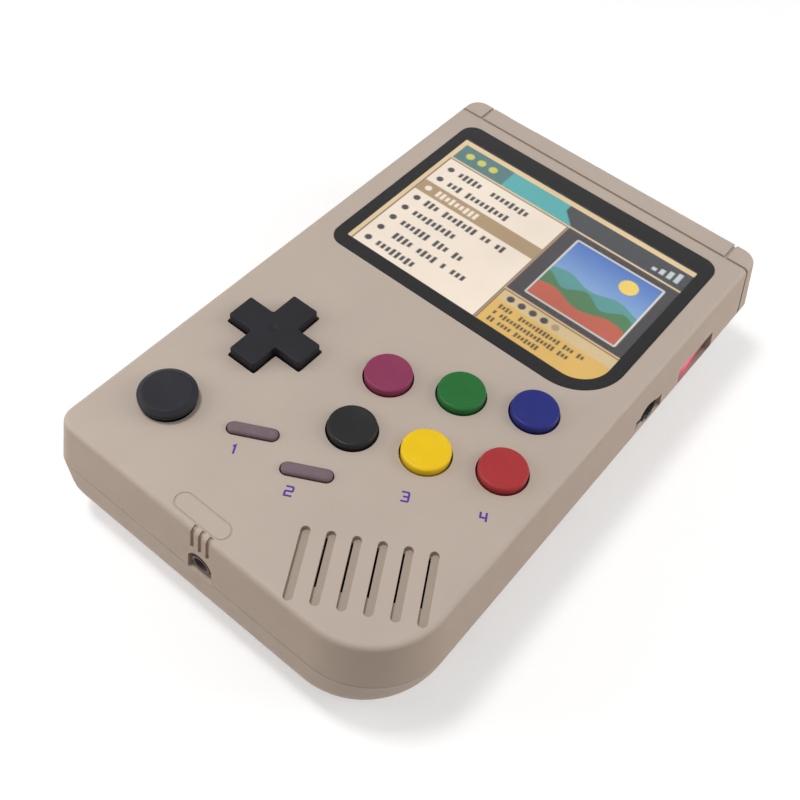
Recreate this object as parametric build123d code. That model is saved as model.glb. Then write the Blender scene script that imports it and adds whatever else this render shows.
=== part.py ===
from build123d import *
import os
from math import cos, radians, sin, sqrt

# Handheld game console, in millimetres.
# X runs to the right of the face, Y to its top end, Z out of the screen.
# The origin is under the middle of the body, on the plane of its back.

# Cuts run this far past the faces they open
OVERRUN = 1.0

# Body shells
BODY_WIDTH = 90.0
BODY_LENGTH = 145.0
FRONT_DEPTH = 13.5
JOINT_LINE_HEIGHT = 18.5
WALL = 2.2
CORNER_RADIUS = 4.5
BIG_CORNER_RADIUS = 19.0
SIDE_LEAN = 0.17
END_LEAN = 0.096
FACE_CORNER_RADIUS = 4.0
FACE_BIG_CORNER_RADIUS = 17.2
FACE_EDGE_RADIUS = 1.3
BACK_EDGE_RADIUS = 12.0
BACK_SIDE_ROUNDING = 8.0
BACK_SECTION_COUNT = 9
FRONT_SIDE_WALL = 3.15
FRONT_END_WALL = 2.7
SEAM_DEPTH = 0.25
SEAM_HEIGHT = 0.3

# Grooves in the face
GROOVE_WIDTH = 0.8
GROOVE_DEPTH = 0.5
TOP_GROOVE_INSET = 7.65
TAB_GROOVE_SIDE_INSET = 8.5
GRIP_GROOVE_WIDTH = 0.9
GRIP_GROOVE_PITCH = 2.0
GRIP_GROOVE_COUNT = 3
GRIP_GROOVE_INSET = 2.7
GRIP_GROOVE_LIP = 0.3
OVAL_X_SHARE = -0.1111
OVAL_INSET = 4.8
OVAL_LENGTH = 14.0
OVAL_HEIGHT = 4.3
OVAL_LINE_WIDTH = 0.4
OVAL_LINE_DEPTH = 0.15

# Screen
LENS_SIDE_MARGIN = 7.7
LENS_UPPER_MARGIN = 11.3
LENS_LOW_SHARE = 0.0634
LENS_CORNER_RADIUS = 3.9
LENS_BIG_CORNER_RADIUS = 12.4
LENS_GAP = 0.1
LENS_SINK = 0.05
LENS_THICKNESS = 1.0
BORDER_THICKNESS = 0.2
LENS_LEDGE = 1.6
BORDER_LEFT = 2.65
BORDER_RIGHT = 3.25
BORDER_UPPER = 4.8
BORDER_LOWER = 4.2
WINDOW_CORNER_RADIUS = 0.5
WINDOW_BIG_CORNER_RADIUS = 8.0
DISPLAY_OVERLAP = 0.7
DISPLAY_THICKNESS = 1.6
DISPLAY_FRAME_THICKNESS = 1.8
DISPLAY_FRAME_LIP = 1.2
PAD_WIDTH = 12.0
PAD_LENGTH = 6.0
PAD_SIDE_INSET = 12.0
PAD_END_INSET = 9.0
RIBBON_WIDTH = 20.0
RIBBON_THICKNESS = 0.2
RIBBON_REACH = 5.4
CONNECTOR_WIDTH = 22.0
CONNECTOR_LENGTH = 3.0
CONNECTOR_HEIGHT = 1.2

# Control board under the face
BUTTON_SPACE = 4.2
BOARD_THICKNESS = 1.6
BOARD_INSET = 3.6
BOARD_CLEARANCE = 0.4
POST_RADIUS = 1.9
POST_SIDE_INSET = 4.9
POST_HIGH_SHARE = 0.7862
POST_LOW_SHARE = 0.1103
POST_LEFT_SHARES = (-0.2667, -0.8276)
POST_RIGHT_SHARES = (0.8578, -0.4276)
BOARD_SCREW_RADIUS = 0.85
BOARD_SCREW_HEAD_RADIUS = 1.45
BOARD_SCREW_HEAD_HEIGHT = 1.1
BOARD_SCREW_REACH = 2.8
SCREW_CLEARANCE = 0.05
CHIP_THICKNESS = 1.2
BIG_CHIP_WIDTH = 12.0
SMALL_CHIP_WIDTH = 7.0
CHIP_ROW_SHARE = -0.1931
CHIP_PITCH = 18.0

# Push buttons
BUTTON_RADIUS = 5.18
BUTTON_GAP = 0.35
BUTTON_PROUD = 1.75
BUTTON_FLANGE = 1.3
FLANGE_THICKNESS = 1.0
FLANGE_GAP = 0.3
BUTTON_TRAVEL = 1.2
TRAVEL_CLEARANCE = 0.3
BUTTON_RIM_RADIUS = 0.55
DISH_RADIUS = 4.5
DISH_DEPTH = 0.35
PURPLE_SHARES = (-0.0044, -0.2483)
GREEN_SHARES = (0.3156, -0.1559)
BLUE_SHARES = (0.6333, -0.0648)
BLACK_SHARES = (0.0667, -0.4621)
YELLOW_SHARES = (0.3956, -0.3862)
RED_SHARES = (0.7133, -0.2924)
MEMBRANE_THICKNESS = 0.6
MEMBRANE_MARGIN = 4.2
DOME_RADIUS = 3.2

# Pill buttons
PILL_LENGTH = 10.5
PILL_WIDTH = 2.8
PILL_GAP = 0.3
PILL_PROUD = 0.9
PILL_EDGE_RADIUS = 0.7
PILL_FLANGE = 1.2
PILL_ANGLE = 28.6
PILL_ROW_SHARE = -0.6524
SELECT_SHARE = -0.2556
START_SHARE = 0.0678
PILL_DOME_RADIUS = 1.6

# Cross pad
CROSS_SHARES = (-0.5633, -0.36)
CROSS_REACH = 10.1
CROSS_ARM_WIDTH = 6.9
CROSS_GAP = 0.4
CROSS_PROUD = 2.4
CROSS_CORNER_RADIUS = 0.5
CROSS_EDGE_RADIUS = 0.4
CROSS_FLANGE = 1.0
CROSS_FLANGE_THICKNESS = 0.9
CROSS_FLANGE_GAP = 1.15
CROSS_DIMPLE_RADIUS = 1.4
CROSS_DIMPLE_DEPTH = 0.35
CROSS_MEMBRANE_THICKNESS = 0.5
CROSS_DOME_HEIGHT = 0.3
CROSS_DOME_SHARE = 0.75
PIVOT_BALL_RADIUS = 1.2
PIVOT_SOCKET_GAP = 0.3
PIVOT_STALK_RADIUS = 0.7
PIVOT_HEIGHT = 0.2

# Sliding stick
STICK_SHARES = (-0.66, -0.7297)
STICK_CAP_RADIUS = 6.2
STICK_CAP_TOP_RADIUS = 5.1
STICK_CAP_HEIGHT = 2.1
STICK_CAP_FLOAT = 0.9
STICK_CAP_EDGE_RADIUS = 0.5
STICK_DISH_DEPTH = 0.25
STICK_NECK_RADIUS = 2.6
STICK_NECK_GAP = 0.42
STICK_TRAVEL = 2.0
STICK_COVER_RIM = 2.3
STICK_HOUSING_WALL = 1.0
STICK_HOUSING_FLOOR = 0.5
STICK_COVER_THICKNESS = 0.4
STICK_GAP = 0.3
STICK_CARRIAGE_THICKNESS = 0.8
STICK_FOOT_CORNER_RADIUS = 0.6

# Speaker and its slots
SLOT_COUNT = 6
SLOT_PITCH = 4.99
SLOT_TILT = 28.7
SLOT_CENTRE_LENGTH = 13.94
SLOT_WIDTH = 1.93
SLOT_DEPTH = 1.2
SLIT_WIDTH = 0.42
SLIT_LENGTH = 10.6
SPEAKER_SIDE_GAP = 4.05
SPEAKER_END_GAP = 0.6
SPEAKER_RADIUS = 12.0
SPEAKER_RIM = 1.3
SPEAKER_FRAME_HEIGHT = 2.3
SPEAKER_MAGNET_RADIUS = 7.0
SPEAKER_CONE_THICKNESS = 0.4
GASKET_THICKNESS = 0.3

# Headphone socket in the lower side
JACK_X_SHARE = -0.0522
JACK_ARCH_RADIUS = 3.15
JACK_ARCH_RISE = 1.0
JACK_BARREL_GAP = 0.35
JACK_BODY_WIDTH = 6.2
JACK_BODY_HEIGHT = 4.6
JACK_BODY_LENGTH = 11.5
JACK_BARREL_RADIUS = 2.25
JACK_BARREL_REACH = 2.5
JACK_BORE_RADIUS = 1.8
JACK_BORE_DEPTH = 11.0

# Volume wheel in the right side
WHEEL_RADIUS = 7.5
WHEEL_THICKNESS = 2.4
WHEEL_SINK = 0.1
WHEEL_Y_SHARE = 0.2924
WHEEL_GAP = 0.4
WHEEL_NOTCH_COUNT = 36
WHEEL_NOTCH_RADIUS = 0.32
WHEEL_SHAFT_RADIUS = 1.5
WHEEL_RUNNING_GAP = 0.06
WHEEL_POT_SIZE = 8.2
WHEEL_POT_GAP = 0.3
WHEEL_POT_HEIGHT = 1.9
WHEEL_SHAFT_HEAD_RADIUS = 2.4
WHEEL_SHAFT_HEAD_HEIGHT = 0.4
SCALLOP_RADIUS = 14.0
SCALLOP_DEPTH = 1.3

# Long opening in the right side with the light behind it
LIGHT_Y_SHARE = 0.5903
LIGHT_OPENING_LENGTH = 16.0
LIGHT_OPENING_RISE = 4.5
LIGHT_OPENING_DROP = 1.7
LIGHT_OPENING_RADIUS = 0.8
LIGHT_GAP = 0.4
LIGHT_SINK = 1.2
LIGHT_BLOCK_DEPTH = 3.4
LIGHT_BLOCK_SHARE = 0.85

# Charging socket in the left side, between the computer's spacers
CHARGE_WIDTH = 8.94
CHARGE_HEIGHT = 3.26
CHARGE_LENGTH = 7.4
CHARGE_SHEET = 0.3
CHARGE_OPENING_GAP = 0.35
CHARGE_SINK = 1.2
CHARGE_TONGUE_WIDTH = 6.6
CHARGE_TONGUE_THICKNESS = 0.7
CHARGE_TONGUE_LENGTH = 4.6

# Power switch in the top side
SWITCH_SIDE_INSET = 17.5
SWITCH_TRAVEL = 3.0
SWITCH_CASE_WIDTH = 10.0
SWITCH_CASE_LENGTH = 5.4
SWITCH_CASE_HEIGHT = 3.3
SWITCH_STEM_WIDTH = 3.0
SWITCH_STEM_HEIGHT = 2.0
SWITCH_STEM_LIFT = 1.0
SWITCH_STEM_SINK = 1.5
SWITCH_GAP = 0.3
SWITCH_KNOB_WIDTH = 5.2
SWITCH_KNOB_HEIGHT = 4.6
SWITCH_RECESS_DEPTH = 1.2
SWITCH_RIDGE_COUNT = 4
SWITCH_RIDGE_WIDTH = 0.5
SWITCH_RIDGE_DEPTH = 0.4

# Shell screws
BOSS_RADIUS = 2.7
COLUMN_RADIUS = 3.7
SCREW_RADIUS = 1.3
SCREW_HEAD_RADIUS = 2.3
SCREW_HEAD_HEIGHT = 1.8
SCREW_HEAD_GAP = 0.3
SCREW_SEAT_HEIGHT = 7.5
SCREW_REACH = 8.0
SCREW_SLOT_LENGTH = 3.0
SCREW_SLOT_WIDTH = 0.7
SCREW_SLOT_DEPTH = 0.6
UPPER_SCREW_SIDE_INSET = 9.0
UPPER_SCREW_END_INSET = 6.0
MIDDLE_SCREW_SIDE_INSET = 6.4
MIDDLE_SCREW_SHARE = -0.0069
LEFT_SCREW_SIDE_INSET = 7.0
LEFT_SCREW_END_INSET = 5.2
RIGHT_SCREW_SHARE = -0.5517

# Battery and its door
BAY_SIDE_MARGIN = 14.0
BAY_END_MARGIN = 13.5
BAY_HIGH_SHARE = -0.1241
BAY_WALL = 1.4
BAY_HEIGHT = 11.4
BATTERY_GAP = 0.3
BATTERY_EDGE_RADIUS = 1.5
DOOR_THICKNESS = 1.7
DOOR_SINK = 0.3
DOOR_GAP = 0.3
DOOR_GRIP_WIDTH = 10.0
DOOR_GRIP_LENGTH = 0.8
DOOR_GRIP_DEPTH = 0.5
DOOR_GRIP_PITCH = 1.8
DOOR_GRIP_COUNT = 3

# Single-board computer behind the control board
COMPUTER_Y_SHARE = 0.5931
COMPUTER_WIDTH = 65.0
COMPUTER_LENGTH = 30.0
COMPUTER_THICKNESS = 1.4
COMPUTER_CORNER_RADIUS = 3.0
COMPUTER_HOLE_INSET = 3.5
HEADER_SIDE_INSET = 7.1
HEADER_WIDTH = 5.0
HEADER_HEIGHT = 8.5
HEADER_EDGE_INSET = 3.5
SPACER_RADIUS = 2.2
COMPUTER_SCREW_RADIUS = 1.25
COMPUTER_SCREW_HEAD_RADIUS = 2.3
COMPUTER_SCREW_HEAD_HEIGHT = 1.5
COMPUTER_SCREW_REACH = 5.0
PROCESSOR_SIZE = 13.0
MEMORY_CHIP_WIDTH = 8.0
PROCESSOR_X = 2.0
MEMORY_CHIP_X = -11.5
HEAT_SINK_SIZE = 26.0
HEAT_SINK_BASE = 1.6
HEAT_SINK_HEIGHT = 6.0
HEAT_SINK_FIN_COUNT = 9
HEAT_SINK_FIN_THICKNESS = 1.0
CARD_WIDTH = 11.0
CARD_LENGTH = 15.0
CARD_THICKNESS = 0.9

# Air slots in the back
VENT_COUNT = 9
VENT_WIDTH = 1.8
VENT_LENGTH = 24.0
VENT_PITCH = 4.6

# Places that follow from the sizes above
HALF_WIDTH = BODY_WIDTH / 2
HALF_LENGTH = BODY_LENGTH / 2
BODY_DEPTH = JOINT_LINE_HEIGHT + FRONT_DEPTH
LENS_LOW_Y = LENS_LOW_SHARE * HALF_LENGTH
LENS_HIGH_Y = HALF_LENGTH - LENS_UPPER_MARGIN
LENS_WIDTH = BODY_WIDTH - 2 * LENS_SIDE_MARGIN
LENS_LENGTH = LENS_HIGH_Y - LENS_LOW_Y
LENS_Y = (LENS_HIGH_Y + LENS_LOW_Y) / 2
WINDOW_WIDTH = LENS_WIDTH - BORDER_LEFT - BORDER_RIGHT
WINDOW_LENGTH = LENS_LENGTH - BORDER_UPPER - BORDER_LOWER
WINDOW_X = (BORDER_LEFT - BORDER_RIGHT) / 2
WINDOW_Y = LENS_Y + (BORDER_LOWER - BORDER_UPPER) / 2
DISPLAY_WIDTH = LENS_WIDTH + 2 * DISPLAY_OVERLAP
DISPLAY_LENGTH = LENS_LENGTH + 2 * DISPLAY_OVERLAP
DISPLAY_LOW_Y = LENS_Y - DISPLAY_LENGTH / 2
PILL_Y = PILL_ROW_SHARE * HALF_LENGTH
SELECT_X = SELECT_SHARE * HALF_WIDTH
START_X = START_SHARE * HALF_WIDTH
CROSS_X = CROSS_SHARES[0] * HALF_WIDTH
CROSS_Y = CROSS_SHARES[1] * HALF_LENGTH
STICK_X = STICK_SHARES[0] * HALF_WIDTH
STICK_Y = STICK_SHARES[1] * HALF_LENGTH
STICK_HOLE_RADIUS = STICK_NECK_RADIUS + STICK_TRAVEL * sqrt(2) + STICK_NECK_GAP
STICK_HOUSING_HALF = STICK_HOLE_RADIUS + STICK_COVER_RIM
STICK_TRAY_HALF = STICK_HOUSING_HALF - STICK_HOUSING_WALL
STICK_SLIDER_HALF = STICK_TRAY_HALF - STICK_TRAVEL - STICK_GAP
SPEAKER_X = HALF_WIDTH - FRONT_SIDE_WALL - SPEAKER_SIDE_GAP - SPEAKER_RADIUS
SPEAKER_Y = FRONT_END_WALL + SPEAKER_END_GAP + SPEAKER_RADIUS - HALF_LENGTH
JACK_X = JACK_X_SHARE * HALF_WIDTH
WHEEL_X = HALF_WIDTH - WHEEL_SINK - WHEEL_RADIUS
WHEEL_Y = WHEEL_Y_SHARE * HALF_LENGTH
LIGHT_Y = LIGHT_Y_SHARE * HALF_LENGTH
COMPUTER_Y = COMPUTER_Y_SHARE * HALF_LENGTH
CHARGE_Y = COMPUTER_Y
SWITCH_X = SWITCH_SIDE_INSET - HALF_WIDTH
BAY_LOW_Y = BAY_END_MARGIN - HALF_LENGTH
BAY_HIGH_Y = BAY_HIGH_SHARE * HALF_LENGTH
BAY_HALF_WIDTH = HALF_WIDTH - BAY_SIDE_MARGIN

# Levels that follow from the sizes above
FACE_UNDERSIDE = BODY_DEPTH - WALL
BOARD_TOP = FACE_UNDERSIDE - BUTTON_SPACE
BOARD_UNDERSIDE = BOARD_TOP - BOARD_THICKNESS
FLANGE_TOP = FACE_UNDERSIDE - FLANGE_GAP
FLANGE_UNDERSIDE = FLANGE_TOP - FLANGE_THICKNESS
DOME_TOP = FLANGE_UNDERSIDE - BUTTON_TRAVEL - TRAVEL_CLEARANCE
LENS_TOP = BODY_DEPTH - LENS_SINK
LENS_UNDERSIDE = LENS_TOP - LENS_THICKNESS
BORDER_UNDERSIDE = LENS_UNDERSIDE - BORDER_THICKNESS
DISPLAY_UNDERSIDE = FACE_UNDERSIDE - DISPLAY_THICKNESS
FRAME_UNDERSIDE = DISPLAY_UNDERSIDE - DISPLAY_FRAME_THICKNESS
PANEL_SEAT_HEIGHT = DISPLAY_UNDERSIDE - DISPLAY_FRAME_LIP / 2
CROSS_FLANGE_TOP = FACE_UNDERSIDE - CROSS_FLANGE_GAP
CROSS_FLANGE_UNDERSIDE = CROSS_FLANGE_TOP - CROSS_FLANGE_THICKNESS
PIVOT_CENTRE_HEIGHT = CROSS_FLANGE_UNDERSIDE - PIVOT_HEIGHT
CROSS_MEMBRANE_TOP = BOARD_TOP + CROSS_MEMBRANE_THICKNESS
STICK_COVER_TOP = FACE_UNDERSIDE - STICK_GAP
STICK_COVER_UNDERSIDE = STICK_COVER_TOP - STICK_COVER_THICKNESS
STICK_FLOOR_TOP = BOARD_TOP + STICK_HOUSING_FLOOR
STICK_CARRIAGE_UNDERSIDE = STICK_FLOOR_TOP + STICK_GAP
STICK_CARRIAGE_TOP = STICK_CARRIAGE_UNDERSIDE + STICK_CARRIAGE_THICKNESS
STICK_FOOT_UNDERSIDE = STICK_CARRIAGE_TOP + STICK_GAP
STICK_CAP_UNDERSIDE = BODY_DEPTH + STICK_CAP_FLOAT
SPEAKER_TOP = FACE_UNDERSIDE - GASKET_THICKNESS
SPEAKER_FRAME_UNDERSIDE = SPEAKER_TOP - SPEAKER_FRAME_HEIGHT
JACK_AXIS_HEIGHT = BOARD_UNDERSIDE - JACK_BODY_HEIGHT / 2
JACK_ARCH_HEIGHT = JACK_AXIS_HEIGHT + JACK_ARCH_RISE
GRIP_GROOVE_LOW_END = JACK_ARCH_HEIGHT + JACK_ARCH_RADIUS + GRIP_GROOVE_LIP
WHEEL_TOP = BOARD_UNDERSIDE - WHEEL_POT_HEIGHT - WHEEL_POT_GAP
WHEEL_UNDERSIDE = WHEEL_TOP - WHEEL_THICKNESS
LIGHT_OPENING_TOP = JOINT_LINE_HEIGHT + LIGHT_OPENING_RISE
LIGHT_OPENING_BOTTOM = JOINT_LINE_HEIGHT - LIGHT_OPENING_DROP
CHARGE_AXIS_HEIGHT = BOARD_UNDERSIDE - CHARGE_HEIGHT / 2
SWITCH_STEM_UNDERSIDE = BOARD_TOP + SWITCH_STEM_LIFT
SWITCH_FACE_Y = HALF_LENGTH - END_LEAN * (SWITCH_STEM_UNDERSIDE - JOINT_LINE_HEIGHT)
DOOR_TOP = DOOR_SINK + DOOR_THICKNESS
DOOR_HINGE_HEIGHT = DOOR_SINK + DOOR_THICKNESS / 2
BAY_TOP = WALL + BAY_HEIGHT
COMPUTER_TOP = BOARD_UNDERSIDE - HEADER_HEIGHT
COMPUTER_UNDERSIDE = COMPUTER_TOP - COMPUTER_THICKNESS
CHIP_UNDERSIDE = COMPUTER_UNDERSIDE - CHIP_THICKNESS


# Shared shapes
def block(low, high):
    """Box between two opposite corners."""
    size = [end - start for start, end in zip(low, high)]
    middle = [(end + start) / 2 for start, end in zip(low, high)]
    return Pos(*middle) * Box(*size)


def rod(x, y, radius, low, high):
    """Upright cylinder between two heights."""
    upright = Cylinder(radius, high - low, align=(Align.CENTER, Align.CENTER, Align.MIN))
    return Pos(x, y, low) * upright


def plate(outline, low, high):
    """Flat outline thickened between two heights."""
    return extrude(Pos(0, 0, low) * outline, amount=high - low)


def cornered_outline(width, length, corner_radius, big_corner_radius):
    """Rectangle with three like corners and one big corner at its lower right."""
    outline = Rectangle(width, length)
    lower_right = [v for v in outline.vertices() if v.X > 0 and v.Y < 0]
    outline = fillet(lower_right, big_corner_radius)
    others = [v for v in outline.vertices() if v.X < 0 or v.Y > 0]
    return fillet(others, corner_radius)


def body_outline(inset):
    """Plan outline of the body, moved inwards by the inset."""
    width = BODY_WIDTH - 2 * inset
    length = BODY_LENGTH - 2 * inset
    return cornered_outline(width, length, CORNER_RADIUS - inset, BIG_CORNER_RADIUS - inset)


def front_volume(inset):
    """Front half as one solid, its sides leaning in to the face, moved inwards by the inset."""
    face = cornered_outline(
        BODY_WIDTH - 2 * (SIDE_LEAN * FRONT_DEPTH + inset),
        BODY_LENGTH - 2 * (END_LEAN * FRONT_DEPTH + inset),
        FACE_CORNER_RADIUS - inset,
        FACE_BIG_CORNER_RADIUS - inset,
    )
    joint = Pos(0, 0, JOINT_LINE_HEIGHT) * body_outline(inset)
    solid = loft([joint, Pos(0, 0, BODY_DEPTH - inset) * face], ruled=True)
    face_edges = solid.edges().group_by(Axis.Z)[-1]
    return fillet(face_edges, FACE_EDGE_RADIUS - inset)


def front_space():
    """Room inside the front half, upright all round."""
    outline = cornered_outline(
        BODY_WIDTH - 2 * FRONT_SIDE_WALL,
        BODY_LENGTH - 2 * FRONT_END_WALL,
        CORNER_RADIUS - WALL,
        BIG_CORNER_RADIUS - WALL,
    )
    return plate(outline, JOINT_LINE_HEIGHT - OVERRUN, FACE_UNDERSIDE)


def rear_section(inset, turn):
    """Outline across the rear where its rounding has turned in by an angle in degrees."""
    radius = BACK_EDGE_RADIUS - inset
    height = BACK_EDGE_RADIUS - radius * sin(radians(turn))
    turned_in = 1 - cos(radians(turn))
    side = inset + SIDE_LEAN * (JOINT_LINE_HEIGHT - height) + (BACK_SIDE_ROUNDING - inset) * turned_in
    end = inset + radius * turned_in
    outline = cornered_outline(
        BODY_WIDTH - 2 * side,
        BODY_LENGTH - 2 * end,
        CORNER_RADIUS - inset,
        BIG_CORNER_RADIUS - end,
    )
    return Pos(0, 0, height) * outline


def rear_volume(inset):
    """Rear half as one solid, its long sides leaning in and its edge rounded to the back."""
    last = BACK_SECTION_COUNT - 1
    rounding = loft([rear_section(inset, 90 * index / last) for index in range(BACK_SECTION_COUNT)])
    joint = Pos(0, 0, JOINT_LINE_HEIGHT) * body_outline(inset)
    return rounding + loft([rear_section(inset, 0), joint], ruled=True)


def seam_groove():
    """Thin groove round the outside, just below the joint line."""
    ring = body_outline(-OVERRUN) - body_outline(SEAM_DEPTH)
    return plate(ring, JOINT_LINE_HEIGHT - SEAM_HEIGHT, JOINT_LINE_HEIGHT)


def plan_point(shares):
    """Point of the plan from its shares of the body's half width and half length."""
    return (shares[0] * HALF_WIDTH, shares[1] * HALF_LENGTH)


def round_centres():
    """Centres of the six round buttons by colour name."""
    return {
        "purple": plan_point(PURPLE_SHARES),
        "green": plan_point(GREEN_SHARES),
        "blue": plan_point(BLUE_SHARES),
        "black": plan_point(BLACK_SHARES),
        "yellow": plan_point(YELLOW_SHARES),
        "red": plan_point(RED_SHARES),
    }


def pill_outline(x, grow):
    """Tilted pill outline at x on the pill row, wider all round by grow."""
    pill = SlotOverall(PILL_LENGTH + 2 * grow, PILL_WIDTH + 2 * grow)
    return Pos(x, PILL_Y) * Rot(0, 0, PILL_ANGLE) * pill


def cross_outline(grow):
    """Cross pad outline about its own centre, wider all round by grow."""
    reach = 2 * (CROSS_REACH + grow)
    arm = CROSS_ARM_WIDTH + 2 * grow
    cross = Rectangle(reach, arm) + Rectangle(arm, reach)
    return fillet(cross.vertices(), CROSS_CORNER_RADIUS)


def shell_screw_centres():
    """Centres of the screws that hold the two shells together."""
    upper_x = HALF_WIDTH - UPPER_SCREW_SIDE_INSET
    upper_y = HALF_LENGTH - UPPER_SCREW_END_INSET
    middle_x = HALF_WIDTH - MIDDLE_SCREW_SIDE_INSET
    middle_y = MIDDLE_SCREW_SHARE * HALF_LENGTH
    return [
        (-upper_x, upper_y),
        (upper_x, upper_y),
        (-middle_x, middle_y),
        (middle_x, middle_y),
        (LEFT_SCREW_SIDE_INSET - HALF_WIDTH, LEFT_SCREW_END_INSET - HALF_LENGTH),
        (middle_x, RIGHT_SCREW_SHARE * HALF_LENGTH),
    ]


def board_post_centres():
    """Centres of the posts that carry the control board."""
    side_x = HALF_WIDTH - POST_SIDE_INSET
    high_y = POST_HIGH_SHARE * HALF_LENGTH
    low_y = POST_LOW_SHARE * HALF_LENGTH
    return [
        (-side_x, high_y),
        (side_x, high_y),
        (-side_x, low_y),
        (side_x, low_y),
        plan_point(POST_LEFT_SHARES),
        plan_point(POST_RIGHT_SHARES),
    ]


def dish(x, y, radius, depth, top):
    """Ball that cuts a shallow round dish into a flat top."""
    ball_radius = (radius ** 2 + depth ** 2) / (2 * depth)
    return Pos(x, y, top + ball_radius - depth) * Sphere(ball_radius)


# Openings through the walls, cut from both shells
def wheel_scallop():
    """Shallow finger hollow around the volume wheel."""
    ball_x = HALF_WIDTH + SCALLOP_RADIUS - SCALLOP_DEPTH
    return Pos(ball_x, WHEEL_Y, (WHEEL_TOP + WHEEL_UNDERSIDE) / 2) * Sphere(SCALLOP_RADIUS)


def wheel_slot():
    """Slot in the right wall that the volume wheel turns in."""
    wall_depth = WHEEL_RADIUS + WHEEL_SINK - WALL
    half_length = (WHEEL_RADIUS ** 2 - wall_depth ** 2) ** 0.5 + WHEEL_GAP
    low = (WHEEL_X + WHEEL_SHAFT_HEAD_RADIUS, WHEEL_Y - half_length, JOINT_LINE_HEIGHT - OVERRUN)
    high = (HALF_WIDTH + OVERRUN, WHEEL_Y + half_length, WHEEL_TOP + WHEEL_GAP)
    return block(low, high)


def light_opening():
    """Long opening in the right wall in front of the light block."""
    height = LIGHT_OPENING_TOP - LIGHT_OPENING_BOTTOM
    opening = RectangleRounded(LIGHT_OPENING_LENGTH, height, LIGHT_OPENING_RADIUS)
    middle = (LIGHT_OPENING_TOP + LIGHT_OPENING_BOTTOM) / 2
    start = HALF_WIDTH - FRONT_SIDE_WALL - OVERRUN
    placed = Plane(origin=(start, LIGHT_Y, middle), x_dir=(0, 1, 0), z_dir=(1, 0, 0)) * opening
    return extrude(placed, amount=FRONT_SIDE_WALL + 2 * OVERRUN)


def charge_outline(grow, centre_x):
    """Rounded outline of the charging socket, across the left wall."""
    height = CHARGE_HEIGHT + 2 * grow
    pill = SlotOverall(CHARGE_WIDTH + 2 * grow, height)
    origin = (centre_x, CHARGE_Y, CHARGE_AXIS_HEIGHT)
    return Plane(origin=origin, x_dir=(0, 1, 0), z_dir=(1, 0, 0)) * pill


def jack_plane(y):
    """Upright plane across the headphone socket's axis, at a place along the length."""
    return Plane(origin=(JACK_X, y, JACK_AXIS_HEIGHT), x_dir=(1, 0, 0), z_dir=(0, 1, 0))


def jack_arch():
    """Arch in the lower wall in front of the headphone socket."""
    depth = FRONT_END_WALL + 2 * OVERRUN
    start_y = -HALF_LENGTH - OVERRUN
    arch = Pos(0, 0, JACK_ARCH_RISE) * jack_plane(start_y) * Circle(JACK_ARCH_RADIUS)
    round_top = extrude(arch, amount=depth)
    low = (JACK_X - JACK_ARCH_RADIUS, start_y, JOINT_LINE_HEIGHT - OVERRUN)
    high = (JACK_X + JACK_ARCH_RADIUS, start_y + depth, JACK_ARCH_HEIGHT)
    return round_top + block(low, high)


def switch_recess():
    """Finger recess and stem slot of the power switch in the top wall."""
    half_span = (SWITCH_KNOB_WIDTH + SWITCH_TRAVEL) / 2 + SWITCH_GAP
    floor_y = SWITCH_FACE_Y - SWITCH_RECESS_DEPTH
    inside = HALF_LENGTH - FRONT_END_WALL - OVERRUN
    outside = HALF_LENGTH + OVERRUN
    low = (SWITCH_X - half_span, floor_y, SWITCH_STEM_UNDERSIDE - SWITCH_STEM_SINK)
    high = (SWITCH_X + half_span, outside, BODY_DEPTH + OVERRUN)
    half_slot = (SWITCH_STEM_WIDTH + SWITCH_TRAVEL) / 2 + SWITCH_GAP
    slot_low = (SWITCH_X - half_slot, inside, SWITCH_STEM_UNDERSIDE - SWITCH_GAP)
    slot_top = SWITCH_STEM_UNDERSIDE + SWITCH_STEM_HEIGHT + SWITCH_GAP
    slot_high = (SWITCH_X + half_slot, outside, slot_top)
    return block(low, high) + block(slot_low, slot_high)


def side_cuts():
    """Cuts in the walls that both shells share."""
    charge_start = -HALF_WIDTH - OVERRUN
    barrel_start = -HALF_LENGTH - OVERRUN
    barrel = jack_plane(barrel_start) * Circle(JACK_BARREL_RADIUS + JACK_BARREL_GAP)
    return [
        wheel_scallop(),
        rod(WHEEL_X, WHEEL_Y, WHEEL_RADIUS + WHEEL_GAP, WHEEL_UNDERSIDE - WHEEL_GAP, WHEEL_TOP + WHEEL_GAP),
        light_opening(),
        extrude(charge_outline(CHARGE_OPENING_GAP, charge_start), amount=FRONT_SIDE_WALL + 2 * OVERRUN),
        extrude(barrel, amount=FRONT_END_WALL + 2 * OVERRUN),
    ]


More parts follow.
